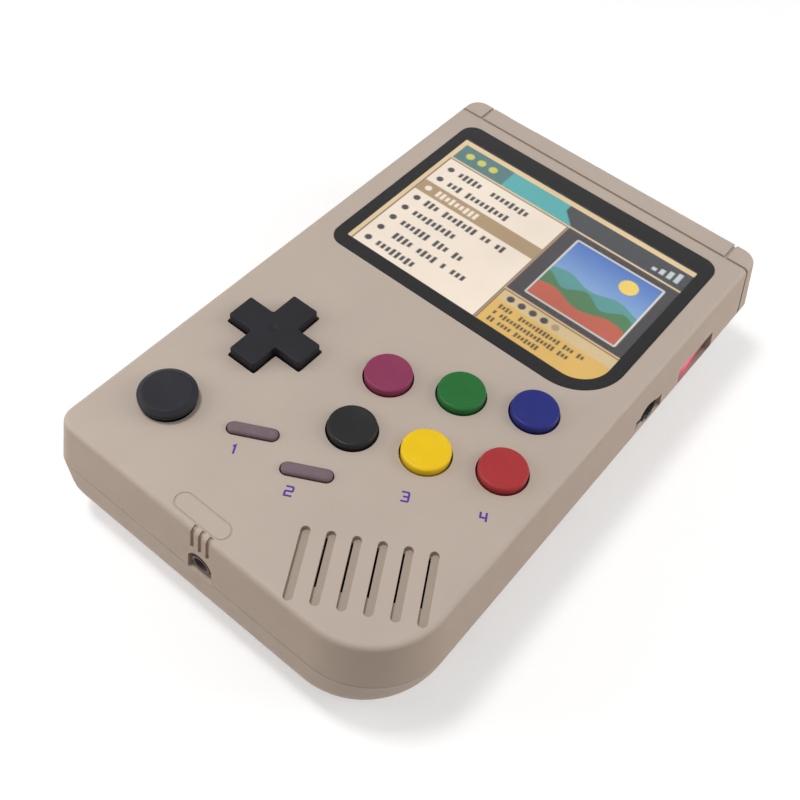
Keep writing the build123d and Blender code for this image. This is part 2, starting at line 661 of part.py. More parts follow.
# Front shell
def face_grooves():
    """Grooves of even depth that follow the face and wrap over its edges."""
    skin = front_volume(0) - front_volume(GROOVE_DEPTH)
    half_width = HALF_WIDTH + OVERRUN
    groove_y = HALF_LENGTH - TOP_GROOVE_INSET
    low = (-half_width, groove_y - GROOVE_WIDTH / 2, JOINT_LINE_HEIGHT - OVERRUN)
    high = (half_width, groove_y + GROOVE_WIDTH / 2, BODY_DEPTH + OVERRUN)
    slabs = [block(low, high)]
    for side in (-1, 1):
        tab_x = side * (HALF_WIDTH - TAB_GROOVE_SIDE_INSET)
        low = (tab_x - GROOVE_WIDTH / 2, groove_y, JOINT_LINE_HEIGHT - OVERRUN)
        high = (tab_x + GROOVE_WIDTH / 2, HALF_LENGTH + OVERRUN, BODY_DEPTH + OVERRUN)
        slabs.append(block(low, high))
    for index in range(GRIP_GROOVE_COUNT):
        grip_x = JACK_X + (index - (GRIP_GROOVE_COUNT - 1) / 2) * GRIP_GROOVE_PITCH
        low_y = -HALF_LENGTH - OVERRUN
        high_y = GRIP_GROOVE_INSET - HALF_LENGTH
        low = (grip_x - GRIP_GROOVE_WIDTH / 2, low_y, GRIP_GROOVE_LOW_END)
        high = (grip_x + GRIP_GROOVE_WIDTH / 2, high_y, BODY_DEPTH + OVERRUN)
        slabs.append(block(low, high))
    return [skin & slab for slab in slabs]


def oval_line():
    """Thin line around an empty oval above the headphone socket."""
    outer = SlotOverall(OVAL_LENGTH, OVAL_HEIGHT)
    inner = SlotOverall(OVAL_LENGTH - 2 * OVAL_LINE_WIDTH, OVAL_HEIGHT - 2 * OVAL_LINE_WIDTH)
    ring = Pos(OVAL_X_SHARE * HALF_WIDTH, OVAL_INSET - HALF_LENGTH) * (outer - inner)
    return plate(ring, BODY_DEPTH - OVAL_LINE_DEPTH, BODY_DEPTH + OVERRUN)


def slot_frame(index):
    """Place of one speaker slot: its middle, with its length along local X."""
    step = (index - (SLOT_COUNT - 1) / 2) * SLOT_PITCH
    middle_x = SPEAKER_X + step * cos(radians(SLOT_TILT))
    middle_y = SPEAKER_Y + step * sin(radians(SLOT_TILT))
    return Pos(middle_x, middle_y) * Rot(0, 0, SLOT_TILT - 90)


def speaker_slots():
    """Shallow slots, all but the first with a narrow slit through the floor."""
    cuts = []
    for index in range(SLOT_COUNT):
        slot = slot_frame(index) * SlotCenterToCenter(SLOT_CENTRE_LENGTH, SLOT_WIDTH)
        cuts.append(plate(slot, BODY_DEPTH - SLOT_DEPTH, BODY_DEPTH + OVERRUN))
        if index > 0:
            shift_x = (SLIT_LENGTH - SLOT_CENTRE_LENGTH) / 2
            shift_y = (SLIT_WIDTH - SLOT_WIDTH) / 2
            slit = slot_frame(index) * Pos(shift_x, shift_y) * Rectangle(SLIT_LENGTH, SLIT_WIDTH)
            cuts.append(plate(slit, FACE_UNDERSIDE - OVERRUN, BODY_DEPTH))
    return cuts


def screen_cuts():
    """Lens pocket and the opening to the display under it."""
    pocket = cornered_outline(
        LENS_WIDTH + 2 * LENS_GAP,
        LENS_LENGTH + 2 * LENS_GAP,
        LENS_CORNER_RADIUS + LENS_GAP,
        LENS_BIG_CORNER_RADIUS + LENS_GAP,
    )
    opening = cornered_outline(
        LENS_WIDTH - 2 * LENS_LEDGE,
        LENS_LENGTH - 2 * LENS_LEDGE,
        LENS_CORNER_RADIUS - LENS_LEDGE,
        LENS_BIG_CORNER_RADIUS - LENS_LEDGE,
    )
    return [
        plate(Pos(0, LENS_Y) * pocket, BORDER_UNDERSIDE, BODY_DEPTH + OVERRUN),
        plate(Pos(0, LENS_Y) * opening, FACE_UNDERSIDE - OVERRUN, BODY_DEPTH + OVERRUN),
    ]


def control_cuts():
    """Holes for the buttons, the cross pad and the stick."""
    low = FACE_UNDERSIDE - OVERRUN
    high = BODY_DEPTH + OVERRUN
    cuts = [rod(x, y, BUTTON_RADIUS + BUTTON_GAP, low, high) for x, y in round_centres().values()]
    cuts.append(rod(STICK_X, STICK_Y, STICK_HOLE_RADIUS, low, high))
    cuts.append(plate(Pos(CROSS_X, CROSS_Y) * cross_outline(CROSS_GAP), low, high))
    cuts += [plate(pill_outline(x, PILL_GAP), low, high) for x in (SELECT_X, START_X)]
    return cuts


def front_shell():
    """Front half of the case with all its openings, bosses and posts."""
    shell = front_volume(0) - front_space()
    inside_top = FACE_UNDERSIDE + OVERRUN / 2
    for x, y in shell_screw_centres():
        shell += rod(x, y, BOSS_RADIUS, JOINT_LINE_HEIGHT, inside_top)
    for x, y in board_post_centres():
        shell += rod(x, y, POST_RADIUS, BOARD_TOP, inside_top)
    cuts = []
    for x, y in shell_screw_centres():
        pilot_top = JOINT_LINE_HEIGHT + SCREW_REACH + SCREW_HEAD_GAP
        cuts.append(rod(x, y, SCREW_RADIUS + SCREW_CLEARANCE, JOINT_LINE_HEIGHT - OVERRUN, pilot_top))
    for x, y in board_post_centres():
        pilot_top = BOARD_TOP + BOARD_SCREW_REACH + SCREW_HEAD_GAP
        cuts.append(rod(x, y, BOARD_SCREW_RADIUS + SCREW_CLEARANCE, BOARD_TOP - OVERRUN, pilot_top))
    cuts += screen_cuts()
    cuts += control_cuts()
    cuts += speaker_slots()
    cuts += face_grooves()
    cuts.append(oval_line())
    cuts.append(jack_arch())
    cuts.append(wheel_slot())
    cuts.append(switch_recess())
    return shell - cuts - side_cuts()


# Rear shell
def bay_block(grow, low, high):
    """Box over the plan of the battery bay, wider all round by grow."""
    half_width = BAY_HALF_WIDTH + grow
    return block((-half_width, BAY_LOW_Y - grow, low), (half_width, BAY_HIGH_Y + grow, high))


def vent_slots():
    """Air slots in the back under the heat sink."""
    cuts = []
    for index in range(VENT_COUNT):
        vent_x = PROCESSOR_X + (index - (VENT_COUNT - 1) / 2) * VENT_PITCH
        slot = Pos(vent_x, COMPUTER_Y) * Rot(0, 0, 90) * SlotOverall(VENT_LENGTH, VENT_WIDTH)
        cuts.append(plate(slot, -OVERRUN, WALL + OVERRUN))
    return cuts


def rear_shell():
    """Rear half of the case with the battery bay, screw columns and air slots."""
    outside = rear_volume(0)
    shell = outside - rear_volume(WALL)
    shell += bay_block(BAY_WALL, WALL / 2, BAY_TOP + BAY_WALL)
    for x, y in shell_screw_centres():
        shell += rod(x, y, COLUMN_RADIUS, WALL / 2, JOINT_LINE_HEIGHT) & outside
    cuts = [seam_groove(), bay_block(0, -OVERRUN, BAY_TOP)]
    for x, y in shell_screw_centres():
        cuts.append(rod(x, y, SCREW_RADIUS + SCREW_CLEARANCE, -OVERRUN, JOINT_LINE_HEIGHT + OVERRUN))
        cuts.append(rod(x, y, SCREW_HEAD_RADIUS + SCREW_HEAD_GAP, -OVERRUN, SCREW_SEAT_HEIGHT))
    cuts += vent_slots()
    return shell - cuts - side_cuts()


def shell_screws():
    """Screws that hold the shells together, heads towards the back."""
    group = []
    for x, y in shell_screw_centres():
        head_low = SCREW_SEAT_HEIGHT - SCREW_HEAD_HEIGHT
        screw = rod(x, y, SCREW_HEAD_RADIUS, head_low, SCREW_SEAT_HEIGHT)
        screw += rod(x, y, SCREW_RADIUS, SCREW_SEAT_HEIGHT, JOINT_LINE_HEIGHT + SCREW_REACH)
        for size_x, size_y in ((SCREW_SLOT_LENGTH, SCREW_SLOT_WIDTH), (SCREW_SLOT_WIDTH, SCREW_SLOT_LENGTH)):
            low = (x - size_x / 2, y - size_y / 2, head_low - OVERRUN)
            high = (x + size_x / 2, y + size_y / 2, head_low + SCREW_SLOT_DEPTH)
            screw -= block(low, high)
        group.append(screw)
    return Compound(children=group)


# Screen
def screen_lens():
    """Clear lens plate that fills the pocket in the face."""
    outline = cornered_outline(LENS_WIDTH, LENS_LENGTH, LENS_CORNER_RADIUS, LENS_BIG_CORNER_RADIUS)
    return plate(Pos(0, LENS_Y) * outline, LENS_UNDERSIDE, LENS_TOP)


def lens_border():
    """Printed border on the underside of the lens, with the display window."""
    outline = cornered_outline(LENS_WIDTH, LENS_LENGTH, LENS_CORNER_RADIUS, LENS_BIG_CORNER_RADIUS)
    window = cornered_outline(WINDOW_WIDTH, WINDOW_LENGTH, WINDOW_CORNER_RADIUS, WINDOW_BIG_CORNER_RADIUS)
    border = Pos(0, LENS_Y) * outline - Pos(WINDOW_X, WINDOW_Y) * window
    return plate(border, BORDER_UNDERSIDE, LENS_UNDERSIDE)


def display_outline(inset):
    """Outline of the display panel, moved inwards by the inset."""
    return Pos(0, LENS_Y) * Rectangle(DISPLAY_WIDTH - 2 * inset, DISPLAY_LENGTH - 2 * inset)


def display_panel():
    """Glass display panel against the underside of the face, set in its frame."""
    return plate(display_outline(DISPLAY_FRAME_LIP), PANEL_SEAT_HEIGHT, FACE_UNDERSIDE)


def display_frame():
    """Metal tray that holds the display panel."""
    tray = plate(display_outline(0), FRAME_UNDERSIDE, DISPLAY_UNDERSIDE)
    return tray - plate(display_outline(DISPLAY_FRAME_LIP), PANEL_SEAT_HEIGHT, FACE_UNDERSIDE)


def display_pads():
    """Foam pads between the display frame and the control board."""
    group = []
    for side_x in (-1, 1):
        for side_y in (-1, 1):
            x = side_x * (DISPLAY_WIDTH / 2 - PAD_SIDE_INSET)
            y = LENS_Y + side_y * (DISPLAY_LENGTH / 2 - PAD_END_INSET)
            low = (x - PAD_WIDTH / 2, y - PAD_LENGTH / 2, BOARD_TOP)
            high = (x + PAD_WIDTH / 2, y + PAD_LENGTH / 2, FRAME_UNDERSIDE)
            group.append(block(low, high))
    return Compound(children=group)


def display_ribbon():
    """Flat cable from the display frame to its connector."""
    level = BOARD_TOP + CONNECTOR_HEIGHT
    low = (-RIBBON_WIDTH / 2, DISPLAY_LOW_Y - RIBBON_REACH, level)
    high = (RIBBON_WIDTH / 2, DISPLAY_LOW_Y, level + RIBBON_THICKNESS)
    return block(low, high)


def display_connector():
    """Connector on the control board that takes the flat cable."""
    low_y = DISPLAY_LOW_Y - RIBBON_REACH - RIBBON_THICKNESS
    low = (-CONNECTOR_WIDTH / 2, low_y, BOARD_TOP)
    high = (CONNECTOR_WIDTH / 2, low_y + CONNECTOR_LENGTH, BOARD_TOP + CONNECTOR_HEIGHT)
    return block(low, high)


# Control board
def control_board():
    """Board under the face that carries every switch and socket."""
    board = plate(body_outline(BOARD_INSET), BOARD_UNDERSIDE, BOARD_TOP)
    cuts = []
    for x, y in shell_screw_centres():
        cuts.append(rod(x, y, BOSS_RADIUS + BOARD_CLEARANCE, BOARD_UNDERSIDE - OVERRUN, BOARD_TOP + OVERRUN))
    for x, y in board_post_centres():
        radius = BOARD_SCREW_RADIUS + SCREW_CLEARANCE
        cuts.append(rod(x, y, radius, BOARD_UNDERSIDE - OVERRUN, BOARD_TOP + OVERRUN))
    return board - cuts


def board_screws():
    """Screws that hold the control board to its posts."""
    group = []
    for x, y in board_post_centres():
        head_low = BOARD_UNDERSIDE - BOARD_SCREW_HEAD_HEIGHT
        screw = rod(x, y, BOARD_SCREW_HEAD_RADIUS, head_low, BOARD_UNDERSIDE)
        screw += rod(x, y, BOARD_SCREW_RADIUS, BOARD_UNDERSIDE, BOARD_TOP + BOARD_SCREW_REACH)
        group.append(screw)
    return Compound(children=group)


def board_chips():
    """One big chip and two small ones on the back of the control board."""
    row_y = CHIP_ROW_SHARE * HALF_LENGTH
    group = []
    for x, width in ((-CHIP_PITCH, SMALL_CHIP_WIDTH), (0, BIG_CHIP_WIDTH), (CHIP_PITCH, SMALL_CHIP_WIDTH)):
        low = (x - width / 2, row_y - width / 2, BOARD_UNDERSIDE - CHIP_THICKNESS)
        high = (x + width / 2, row_y + width / 2, BOARD_UNDERSIDE)
        group.append(block(low, high))
    return Compound(children=group)


# Push buttons
def round_button(x, y):
    """Round button with a dished top, a soft rim and a flange under the face."""
    top = BODY_DEPTH + BUTTON_PROUD
    cap = rod(x, y, BUTTON_RADIUS, FLANGE_UNDERSIDE, top)
    cap = fillet(cap.edges().group_by(Axis.Z)[-1], BUTTON_RIM_RADIUS)
    cap -= dish(x, y, DISH_RADIUS, DISH_DEPTH, top)
    return cap + rod(x, y, BUTTON_RADIUS + BUTTON_FLANGE, FLANGE_UNDERSIDE, FLANGE_TOP)


def membrane(centres, dome_radius):
    """Rubber sheet drawn round the given centres, with a dome on each."""
    rims = [edge for x, y in centres for edge in (Pos(x, y) * Circle(MEMBRANE_MARGIN)).edges()]
    sheet = plate(make_hull(rims), BOARD_TOP, BOARD_TOP + MEMBRANE_THICKNESS)
    for x, y in centres:
        sheet += rod(x, y, dome_radius, BOARD_TOP, DOME_TOP)
    return sheet


def pill_button(x):
    """Rubber pill button with a flange under the face."""
    top = BODY_DEPTH + PILL_PROUD
    cap = plate(pill_outline(x, 0), FLANGE_UNDERSIDE, top)
    cap = fillet(cap.edges().group_by(Axis.Z)[-1], PILL_EDGE_RADIUS)
    return cap + plate(pill_outline(x, PILL_FLANGE), FLANGE_UNDERSIDE, FLANGE_TOP)


# Cross pad
def cross_pad():
    """Cross pad with a dimple in the middle, a flange and a ball socket below."""
    here = Pos(CROSS_X, CROSS_Y)
    top = BODY_DEPTH + CROSS_PROUD
    pad = plate(here * cross_outline(0), CROSS_FLANGE_UNDERSIDE, top)
    pad = fillet(pad.edges().group_by(Axis.Z)[-1], CROSS_EDGE_RADIUS)
    pad += plate(here * cross_outline(CROSS_FLANGE), CROSS_FLANGE_UNDERSIDE, CROSS_FLANGE_TOP)
    pad -= dish(CROSS_X, CROSS_Y, CROSS_DIMPLE_RADIUS, CROSS_DIMPLE_DEPTH, top)
    socket = Sphere(PIVOT_BALL_RADIUS + PIVOT_SOCKET_GAP)
    return pad - Pos(CROSS_X, CROSS_Y, PIVOT_CENTRE_HEIGHT) * socket


def cross_pivot():
    """Small ball post that the cross pad rocks on."""
    ball = Pos(CROSS_X, CROSS_Y, PIVOT_CENTRE_HEIGHT) * Sphere(PIVOT_BALL_RADIUS)
    foot = CROSS_MEMBRANE_TOP + PIVOT_SOCKET_GAP
    trimmed = ball & rod(CROSS_X, CROSS_Y, PIVOT_BALL_RADIUS, foot, PIVOT_CENTRE_HEIGHT + PIVOT_BALL_RADIUS)
    return trimmed + rod(CROSS_X, CROSS_Y, PIVOT_STALK_RADIUS, foot, PIVOT_CENTRE_HEIGHT)


def cross_membrane():
    """Rubber sheet under the cross pad with one low dome under each arm."""
    sheet = plate(Pos(CROSS_X, CROSS_Y) * cross_outline(CROSS_FLANGE), BOARD_TOP, CROSS_MEMBRANE_TOP)
    reach = CROSS_REACH * CROSS_DOME_SHARE
    for step_x, step_y in ((1, 0), (-1, 0), (0, 1), (0, -1)):
        x = CROSS_X + step_x * reach
        y = CROSS_Y + step_y * reach
        sheet += rod(x, y, PILL_DOME_RADIUS, BOARD_TOP, CROSS_MEMBRANE_TOP + CROSS_DOME_HEIGHT)
    return sheet


# Sliding stick
def stick_block(half_x, half_y, low, high):
    """Box about the stick's axis."""
    return block((STICK_X - half_x, STICK_Y - half_y, low), (STICK_X + half_x, STICK_Y + half_y, high))


def stick_housing():
    """Open square tray of the stick."""
    tray = stick_block(STICK_HOUSING_HALF, STICK_HOUSING_HALF, BOARD_TOP, STICK_COVER_UNDERSIDE)
    space_top = STICK_COVER_UNDERSIDE + OVERRUN
    return tray - stick_block(STICK_TRAY_HALF, STICK_TRAY_HALF, STICK_FLOOR_TOP, space_top)


def stick_cover():
    """Metal cover plate over the stick's tray, with the hole for the neck."""
    cover = stick_block(STICK_HOUSING_HALF, STICK_HOUSING_HALF, STICK_COVER_UNDERSIDE, STICK_COVER_TOP)
    hole_low = STICK_COVER_UNDERSIDE - OVERRUN
    return cover - rod(STICK_X, STICK_Y, STICK_HOLE_RADIUS, hole_low, STICK_COVER_TOP + OVERRUN)


def stick_carriage():
    """Carriage that slides across the tray and carries the cap."""
    half_y = STICK_TRAY_HALF - STICK_GAP
    return stick_block(STICK_SLIDER_HALF, half_y, STICK_CARRIAGE_UNDERSIDE, STICK_CARRIAGE_TOP)


def stick_cap():
    """Low round cap on a neck, with a square foot that the cover holds in."""
    foot_top = STICK_COVER_UNDERSIDE - STICK_GAP
    cap_top = STICK_CAP_UNDERSIDE + STICK_CAP_HEIGHT
    cap = rod(STICK_X, STICK_Y, STICK_CAP_RADIUS, STICK_CAP_UNDERSIDE, cap_top)
    bevel = STICK_CAP_RADIUS - STICK_CAP_TOP_RADIUS
    cap = chamfer(cap.edges().group_by(Axis.Z)[-1], bevel * 2 / 3, bevel)
    cap = fillet(cap.edges().group_by(Axis.Z)[-1], STICK_CAP_EDGE_RADIUS)
    cap = fillet(cap.edges().group_by(Axis.Z)[0], STICK_CAP_EDGE_RADIUS)
    cap -= dish(STICK_X, STICK_Y, STICK_CAP_TOP_RADIUS - STICK_CAP_EDGE_RADIUS, STICK_DISH_DEPTH, cap_top)
    neck_top = STICK_CAP_UNDERSIDE + STICK_CAP_HEIGHT / 2
    cap += rod(STICK_X, STICK_Y, STICK_NECK_RADIUS, STICK_FOOT_UNDERSIDE, neck_top)
    foot = RectangleRounded(2 * STICK_SLIDER_HALF, 2 * STICK_SLIDER_HALF, STICK_FOOT_CORNER_RADIUS)
    return cap + plate(Pos(STICK_X, STICK_Y) * foot, STICK_FOOT_UNDERSIDE, foot_top)


# Speaker
def speaker_frame():
    """Round metal basket of the speaker."""
    basket = rod(SPEAKER_X, SPEAKER_Y, SPEAKER_RADIUS, SPEAKER_FRAME_UNDERSIDE, SPEAKER_TOP)
    inner = SPEAKER_RADIUS - SPEAKER_RIM
    floor_top = SPEAKER_FRAME_UNDERSIDE + SPEAKER_CONE_THICKNESS
    return basket - rod(SPEAKER_X, SPEAKER_Y, inner, floor_top, SPEAKER_TOP)


def speaker_cone():
    """Cone of the speaker, a shallow funnel inside the basket."""
    low = SPEAKER_FRAME_UNDERSIDE + SPEAKER_CONE_THICKNESS
    inner = SPEAKER_RADIUS - SPEAKER_RIM
    height = SPEAKER_TOP - SPEAKER_CONE_THICKNESS - low
    funnel = Cone(SPEAKER_MAGNET_RADIUS / 2, inner, height, align=(Align.CENTER, Align.CENTER, Align.MIN))
    cone = Pos(SPEAKER_X, SPEAKER_Y, low) * funnel
    return cone - Pos(SPEAKER_X, SPEAKER_Y, low + SPEAKER_CONE_THICKNESS) * funnel


def speaker_magnet():
    """Magnet pot of the speaker, standing on the control board."""
    return rod(SPEAKER_X, SPEAKER_Y, SPEAKER_MAGNET_RADIUS, BOARD_TOP, SPEAKER_FRAME_UNDERSIDE)


def speaker_gasket():
    """Foam ring between the speaker and the underside of the face."""
    ring = rod(SPEAKER_X, SPEAKER_Y, SPEAKER_RADIUS, SPEAKER_TOP, FACE_UNDERSIDE)
    inner = SPEAKER_RADIUS - SPEAKER_RIM
    return ring - rod(SPEAKER_X, SPEAKER_Y, inner, SPEAKER_TOP - OVERRUN, FACE_UNDERSIDE + OVERRUN)


# Sockets, wheel, light and switch
def headphone_socket():
    """Headphone socket under the control board, its mouth in the arch."""
    front_y = FRONT_END_WALL - HALF_LENGTH + BOARD_CLEARANCE
    low = (JACK_X - JACK_BODY_WIDTH / 2, front_y, BOARD_UNDERSIDE - JACK_BODY_HEIGHT)
    high = (JACK_X + JACK_BODY_WIDTH / 2, front_y + JACK_BODY_LENGTH, BOARD_UNDERSIDE)
    mouth_y = front_y - JACK_BARREL_REACH
    barrel = extrude(jack_plane(mouth_y) * Circle(JACK_BARREL_RADIUS), amount=JACK_BARREL_REACH + OVERRUN)
    bore = extrude(jack_plane(mouth_y) * Circle(JACK_BORE_RADIUS), amount=JACK_BORE_DEPTH)
    return block(low, high) + barrel - bore


def volume_wheel():
    """Ribbed disc that turns on the pot's shaft."""
    rim = Circle(WHEEL_RADIUS)
    notches = [loc * Circle(WHEEL_NOTCH_RADIUS) for loc in PolarLocations(WHEEL_RADIUS, WHEEL_NOTCH_COUNT)]
    disc = rim - notches - Circle(WHEEL_SHAFT_RADIUS + WHEEL_RUNNING_GAP)
    return plate(Pos(WHEEL_X, WHEEL_Y) * disc, WHEEL_UNDERSIDE, WHEEL_TOP)


def volume_pot():
    """Pot under the control board with the shaft that carries the wheel."""
    half = WHEEL_POT_SIZE / 2
    low = (WHEEL_X - half, WHEEL_Y - half, BOARD_UNDERSIDE - WHEEL_POT_HEIGHT)
    high = (WHEEL_X + half, WHEEL_Y + half, BOARD_UNDERSIDE)
    head_top = WHEEL_UNDERSIDE - WHEEL_POT_GAP
    shaft = rod(WHEEL_X, WHEEL_Y, WHEEL_SHAFT_RADIUS, head_top, BOARD_UNDERSIDE - WHEEL_POT_HEIGHT)
    head = rod(WHEEL_X, WHEEL_Y, WHEEL_SHAFT_HEAD_RADIUS, head_top - WHEEL_SHAFT_HEAD_HEIGHT, head_top)
    return block(low, high) + shaft + head


def light_block():
    """Clear red block that spreads the light behind the long opening."""
    inner_wall = HALF_WIDTH - FRONT_SIDE_WALL
    half = LIGHT_OPENING_LENGTH / 2 - LIGHT_GAP
    back_x = inner_wall - BOARD_CLEARANCE - LIGHT_BLOCK_DEPTH
    low = (back_x, LIGHT_Y - half * LIGHT_BLOCK_SHARE, LIGHT_OPENING_BOTTOM + LIGHT_GAP)
    high = (inner_wall - BOARD_CLEARANCE, LIGHT_Y + half * LIGHT_BLOCK_SHARE, BOARD_UNDERSIDE)
    nose_low = (inner_wall - BOARD_CLEARANCE, LIGHT_Y - half, LIGHT_OPENING_BOTTOM + LIGHT_GAP)
    nose_high = (HALF_WIDTH - LIGHT_SINK, LIGHT_Y + half, LIGHT_OPENING_TOP - LIGHT_GAP)
    return block(low, high) + block(nose_low, nose_high)


def charge_socket():
    """Metal shell of the charging socket in the left side."""
    start_x = CHARGE_SINK - HALF_WIDTH
    shell = extrude(charge_outline(0, start_x), amount=CHARGE_LENGTH)
    depth = CHARGE_LENGTH - CHARGE_SHEET
    return shell - extrude(charge_outline(-CHARGE_SHEET, start_x), amount=depth)


def charge_tongue():
    """Contact tongue inside the charging socket."""
    back_x = CHARGE_SINK - HALF_WIDTH + CHARGE_LENGTH - CHARGE_SHEET
    low_y = CHARGE_Y - CHARGE_TONGUE_WIDTH / 2
    low = (back_x - CHARGE_TONGUE_LENGTH, low_y, CHARGE_AXIS_HEIGHT - CHARGE_TONGUE_THICKNESS / 2)
    high = (back_x, low_y + CHARGE_TONGUE_WIDTH, CHARGE_AXIS_HEIGHT + CHARGE_TONGUE_THICKNESS / 2)
    return block(low, high)


def switch_case():
    """Case of the power switch on the control board."""
    back = HALF_LENGTH - FRONT_END_WALL - BOARD_CLEARANCE
    half = SWITCH_CASE_WIDTH / 2
    low = (SWITCH_X - half, back - SWITCH_CASE_LENGTH, BOARD_TOP)
    high = (SWITCH_X + half, back, BOARD_TOP + SWITCH_CASE_HEIGHT)
    half_slot = (SWITCH_STEM_WIDTH + SWITCH_TRAVEL) / 2 + SWITCH_GAP
    slot_low = (SWITCH_X - half_slot, back - SWITCH_CASE_LENGTH / 2, SWITCH_STEM_UNDERSIDE - SWITCH_GAP)
    slot_top = SWITCH_STEM_UNDERSIDE + SWITCH_STEM_HEIGHT + SWITCH_GAP
    slot_high = (SWITCH_X + half_slot, back + OVERRUN, slot_top)
    return block(low, high) - block(slot_low, slot_high)


def switch_knob():
    """Ridged knob of the power switch, at the right end of its travel."""
    knob_x = SWITCH_X + SWITCH_TRAVEL / 2
    case_back = HALF_LENGTH - FRONT_END_WALL - BOARD_CLEARANCE
    stem_start = case_back - SWITCH_CASE_LENGTH / 2 + SWITCH_GAP
    knob_start = SWITCH_FACE_Y - SWITCH_RECESS_DEPTH + SWITCH_GAP
    low = (knob_x - SWITCH_STEM_WIDTH / 2, stem_start, SWITCH_STEM_UNDERSIDE)
    front = SWITCH_FACE_Y - SWITCH_RIDGE_DEPTH
    high = (knob_x + SWITCH_STEM_WIDTH / 2, front, SWITCH_STEM_UNDERSIDE + SWITCH_STEM_HEIGHT)
    knob_low = SWITCH_STEM_UNDERSIDE - SWITCH_STEM_SINK + SWITCH_GAP
    plate_low = (knob_x - SWITCH_KNOB_WIDTH / 2, knob_start, knob_low)
    plate_high = (knob_x + SWITCH_KNOB_WIDTH / 2, front, knob_low + SWITCH_KNOB_HEIGHT)
    knob = block(low, high) + block(plate_low, plate_high)
    ridge_pitch = (SWITCH_KNOB_WIDTH - SWITCH_RIDGE_WIDTH) / (SWITCH_RIDGE_COUNT - 1)
    for index in range(SWITCH_RIDGE_COUNT):
        ridge_x = knob_x - SWITCH_KNOB_WIDTH / 2 + index * ridge_pitch
        ridge_low = (ridge_x, knob_start, knob_low)
        ridge_high = (ridge_x + SWITCH_RIDGE_WIDTH, SWITCH_FACE_Y, knob_low + SWITCH_KNOB_HEIGHT)
        knob += block(ridge_low, ridge_high)
    return knob


# Battery
def battery_pack():
    """Flat battery pack between the door and the roof of its bay."""
    pack = bay_block(-BATTERY_GAP, DOOR_TOP + BATTERY_GAP, BAY_TOP - BATTERY_GAP)
    return fillet(pack.edges().filter_by(Axis.Y), BATTERY_EDGE_RADIUS)


def battery_door():
    """Flat door under the battery, round along its hinge edge, with finger grooves."""
    half_width = BAY_HALF_WIDTH - DOOR_GAP
    low_y = BAY_LOW_Y + DOOR_GAP
    hinge_y = BAY_HIGH_Y - DOOR_GAP - DOOR_THICKNESS / 2
    roll = Plane(origin=(-half_width, hinge_y, DOOR_HINGE_HEIGHT), x_dir=(0, 1, 0), z_dir=(1, 0, 0))
    door = block((-half_width, low_y, DOOR_SINK), (half_width, hinge_y, DOOR_TOP))
    door += extrude(roll * Circle(DOOR_THICKNESS / 2), amount=2 * half_width)
    for index in range(DOOR_GRIP_COUNT):
        grip_y = low_y + (index + 1) * DOOR_GRIP_PITCH
        grip_low = (-DOOR_GRIP_WIDTH / 2, grip_y, DOOR_SINK - OVERRUN)
        grip_high = (DOOR_GRIP_WIDTH / 2, grip_y + DOOR_GRIP_LENGTH, DOOR_SINK + DOOR_GRIP_DEPTH)
        door -= block(grip_low, grip_high)
    return door


# Single-board computer
def computer_hole_centres():
    """Centres of the computer board's corner holes."""
    x = COMPUTER_WIDTH / 2 - COMPUTER_HOLE_INSET
    y = COMPUTER_LENGTH / 2 - COMPUTER_HOLE_INSET
    return [(side_x * x, COMPUTER_Y + side_y * y) for side_x in (-1, 1) for side_y in (-1, 1)]


def computer_board():
    """Small single-board computer behind the control board."""
    outline = Pos(0, COMPUTER_Y) * RectangleRounded(COMPUTER_WIDTH, COMPUTER_LENGTH, COMPUTER_CORNER_RADIUS)
    board = plate(outline, COMPUTER_UNDERSIDE, COMPUTER_TOP)
    radius = COMPUTER_SCREW_RADIUS + SCREW_CLEARANCE
    for x, y in computer_hole_centres():
        board -= rod(x, y, radius, COMPUTER_UNDERSIDE - OVERRUN, COMPUTER_TOP + OVERRUN)
    return board


def pin_header():
    """Pin header that joins the computer to the control board."""
    y = COMPUTER_Y + COMPUTER_LENGTH / 2 - HEADER_EDGE_INSET
    half_length = COMPUTER_WIDTH / 2 - HEADER_SIDE_INSET
    low = (-half_length, y - HEADER_WIDTH / 2, COMPUTER_TOP)
    high = (half_length, y + HEADER_WIDTH / 2, BOARD_UNDERSIDE)
    return block(low, high)


def computer_spacers():
    """Spacers between the computer and the control board."""
    group = []
    radius = COMPUTER_SCREW_RADIUS + SCREW_CLEARANCE
    for x, y in computer_hole_centres():
        spacer = rod(x, y, SPACER_RADIUS, COMPUTER_TOP, BOARD_UNDERSIDE)
        group.append(spacer - rod(x, y, radius, COMPUTER_TOP - OVERRUN, COMPUTER_TOP + COMPUTER_SCREW_REACH))
    return Compound(children=group)


def computer_screws():
    """Screws through the computer into the spacers."""
    group = []
    for x, y in computer_hole_centres():
        head_low = COMPUTER_UNDERSIDE - COMPUTER_SCREW_HEAD_HEIGHT
        screw = rod(x, y, COMPUTER_SCREW_HEAD_RADIUS, head_low, COMPUTER_UNDERSIDE)
        shank_top = COMPUTER_TOP + COMPUTER_SCREW_REACH - SCREW_HEAD_GAP
        group.append(screw + rod(x, y, COMPUTER_SCREW_RADIUS, COMPUTER_UNDERSIDE, shank_top))
    return Compound(children=group)


def computer_chips():
    """Processor and memory on the back of the computer."""
    group = []
    for x, size in ((PROCESSOR_X, PROCESSOR_SIZE), (MEMORY_CHIP_X, MEMORY_CHIP_WIDTH)):
        low = (x - size / 2, COMPUTER_Y - size / 2, CHIP_UNDERSIDE)
        high = (x + size / 2, COMPUTER_Y + size / 2, COMPUTER_UNDERSIDE)
        group.append(block(low, high))
    return Compound(children=group)


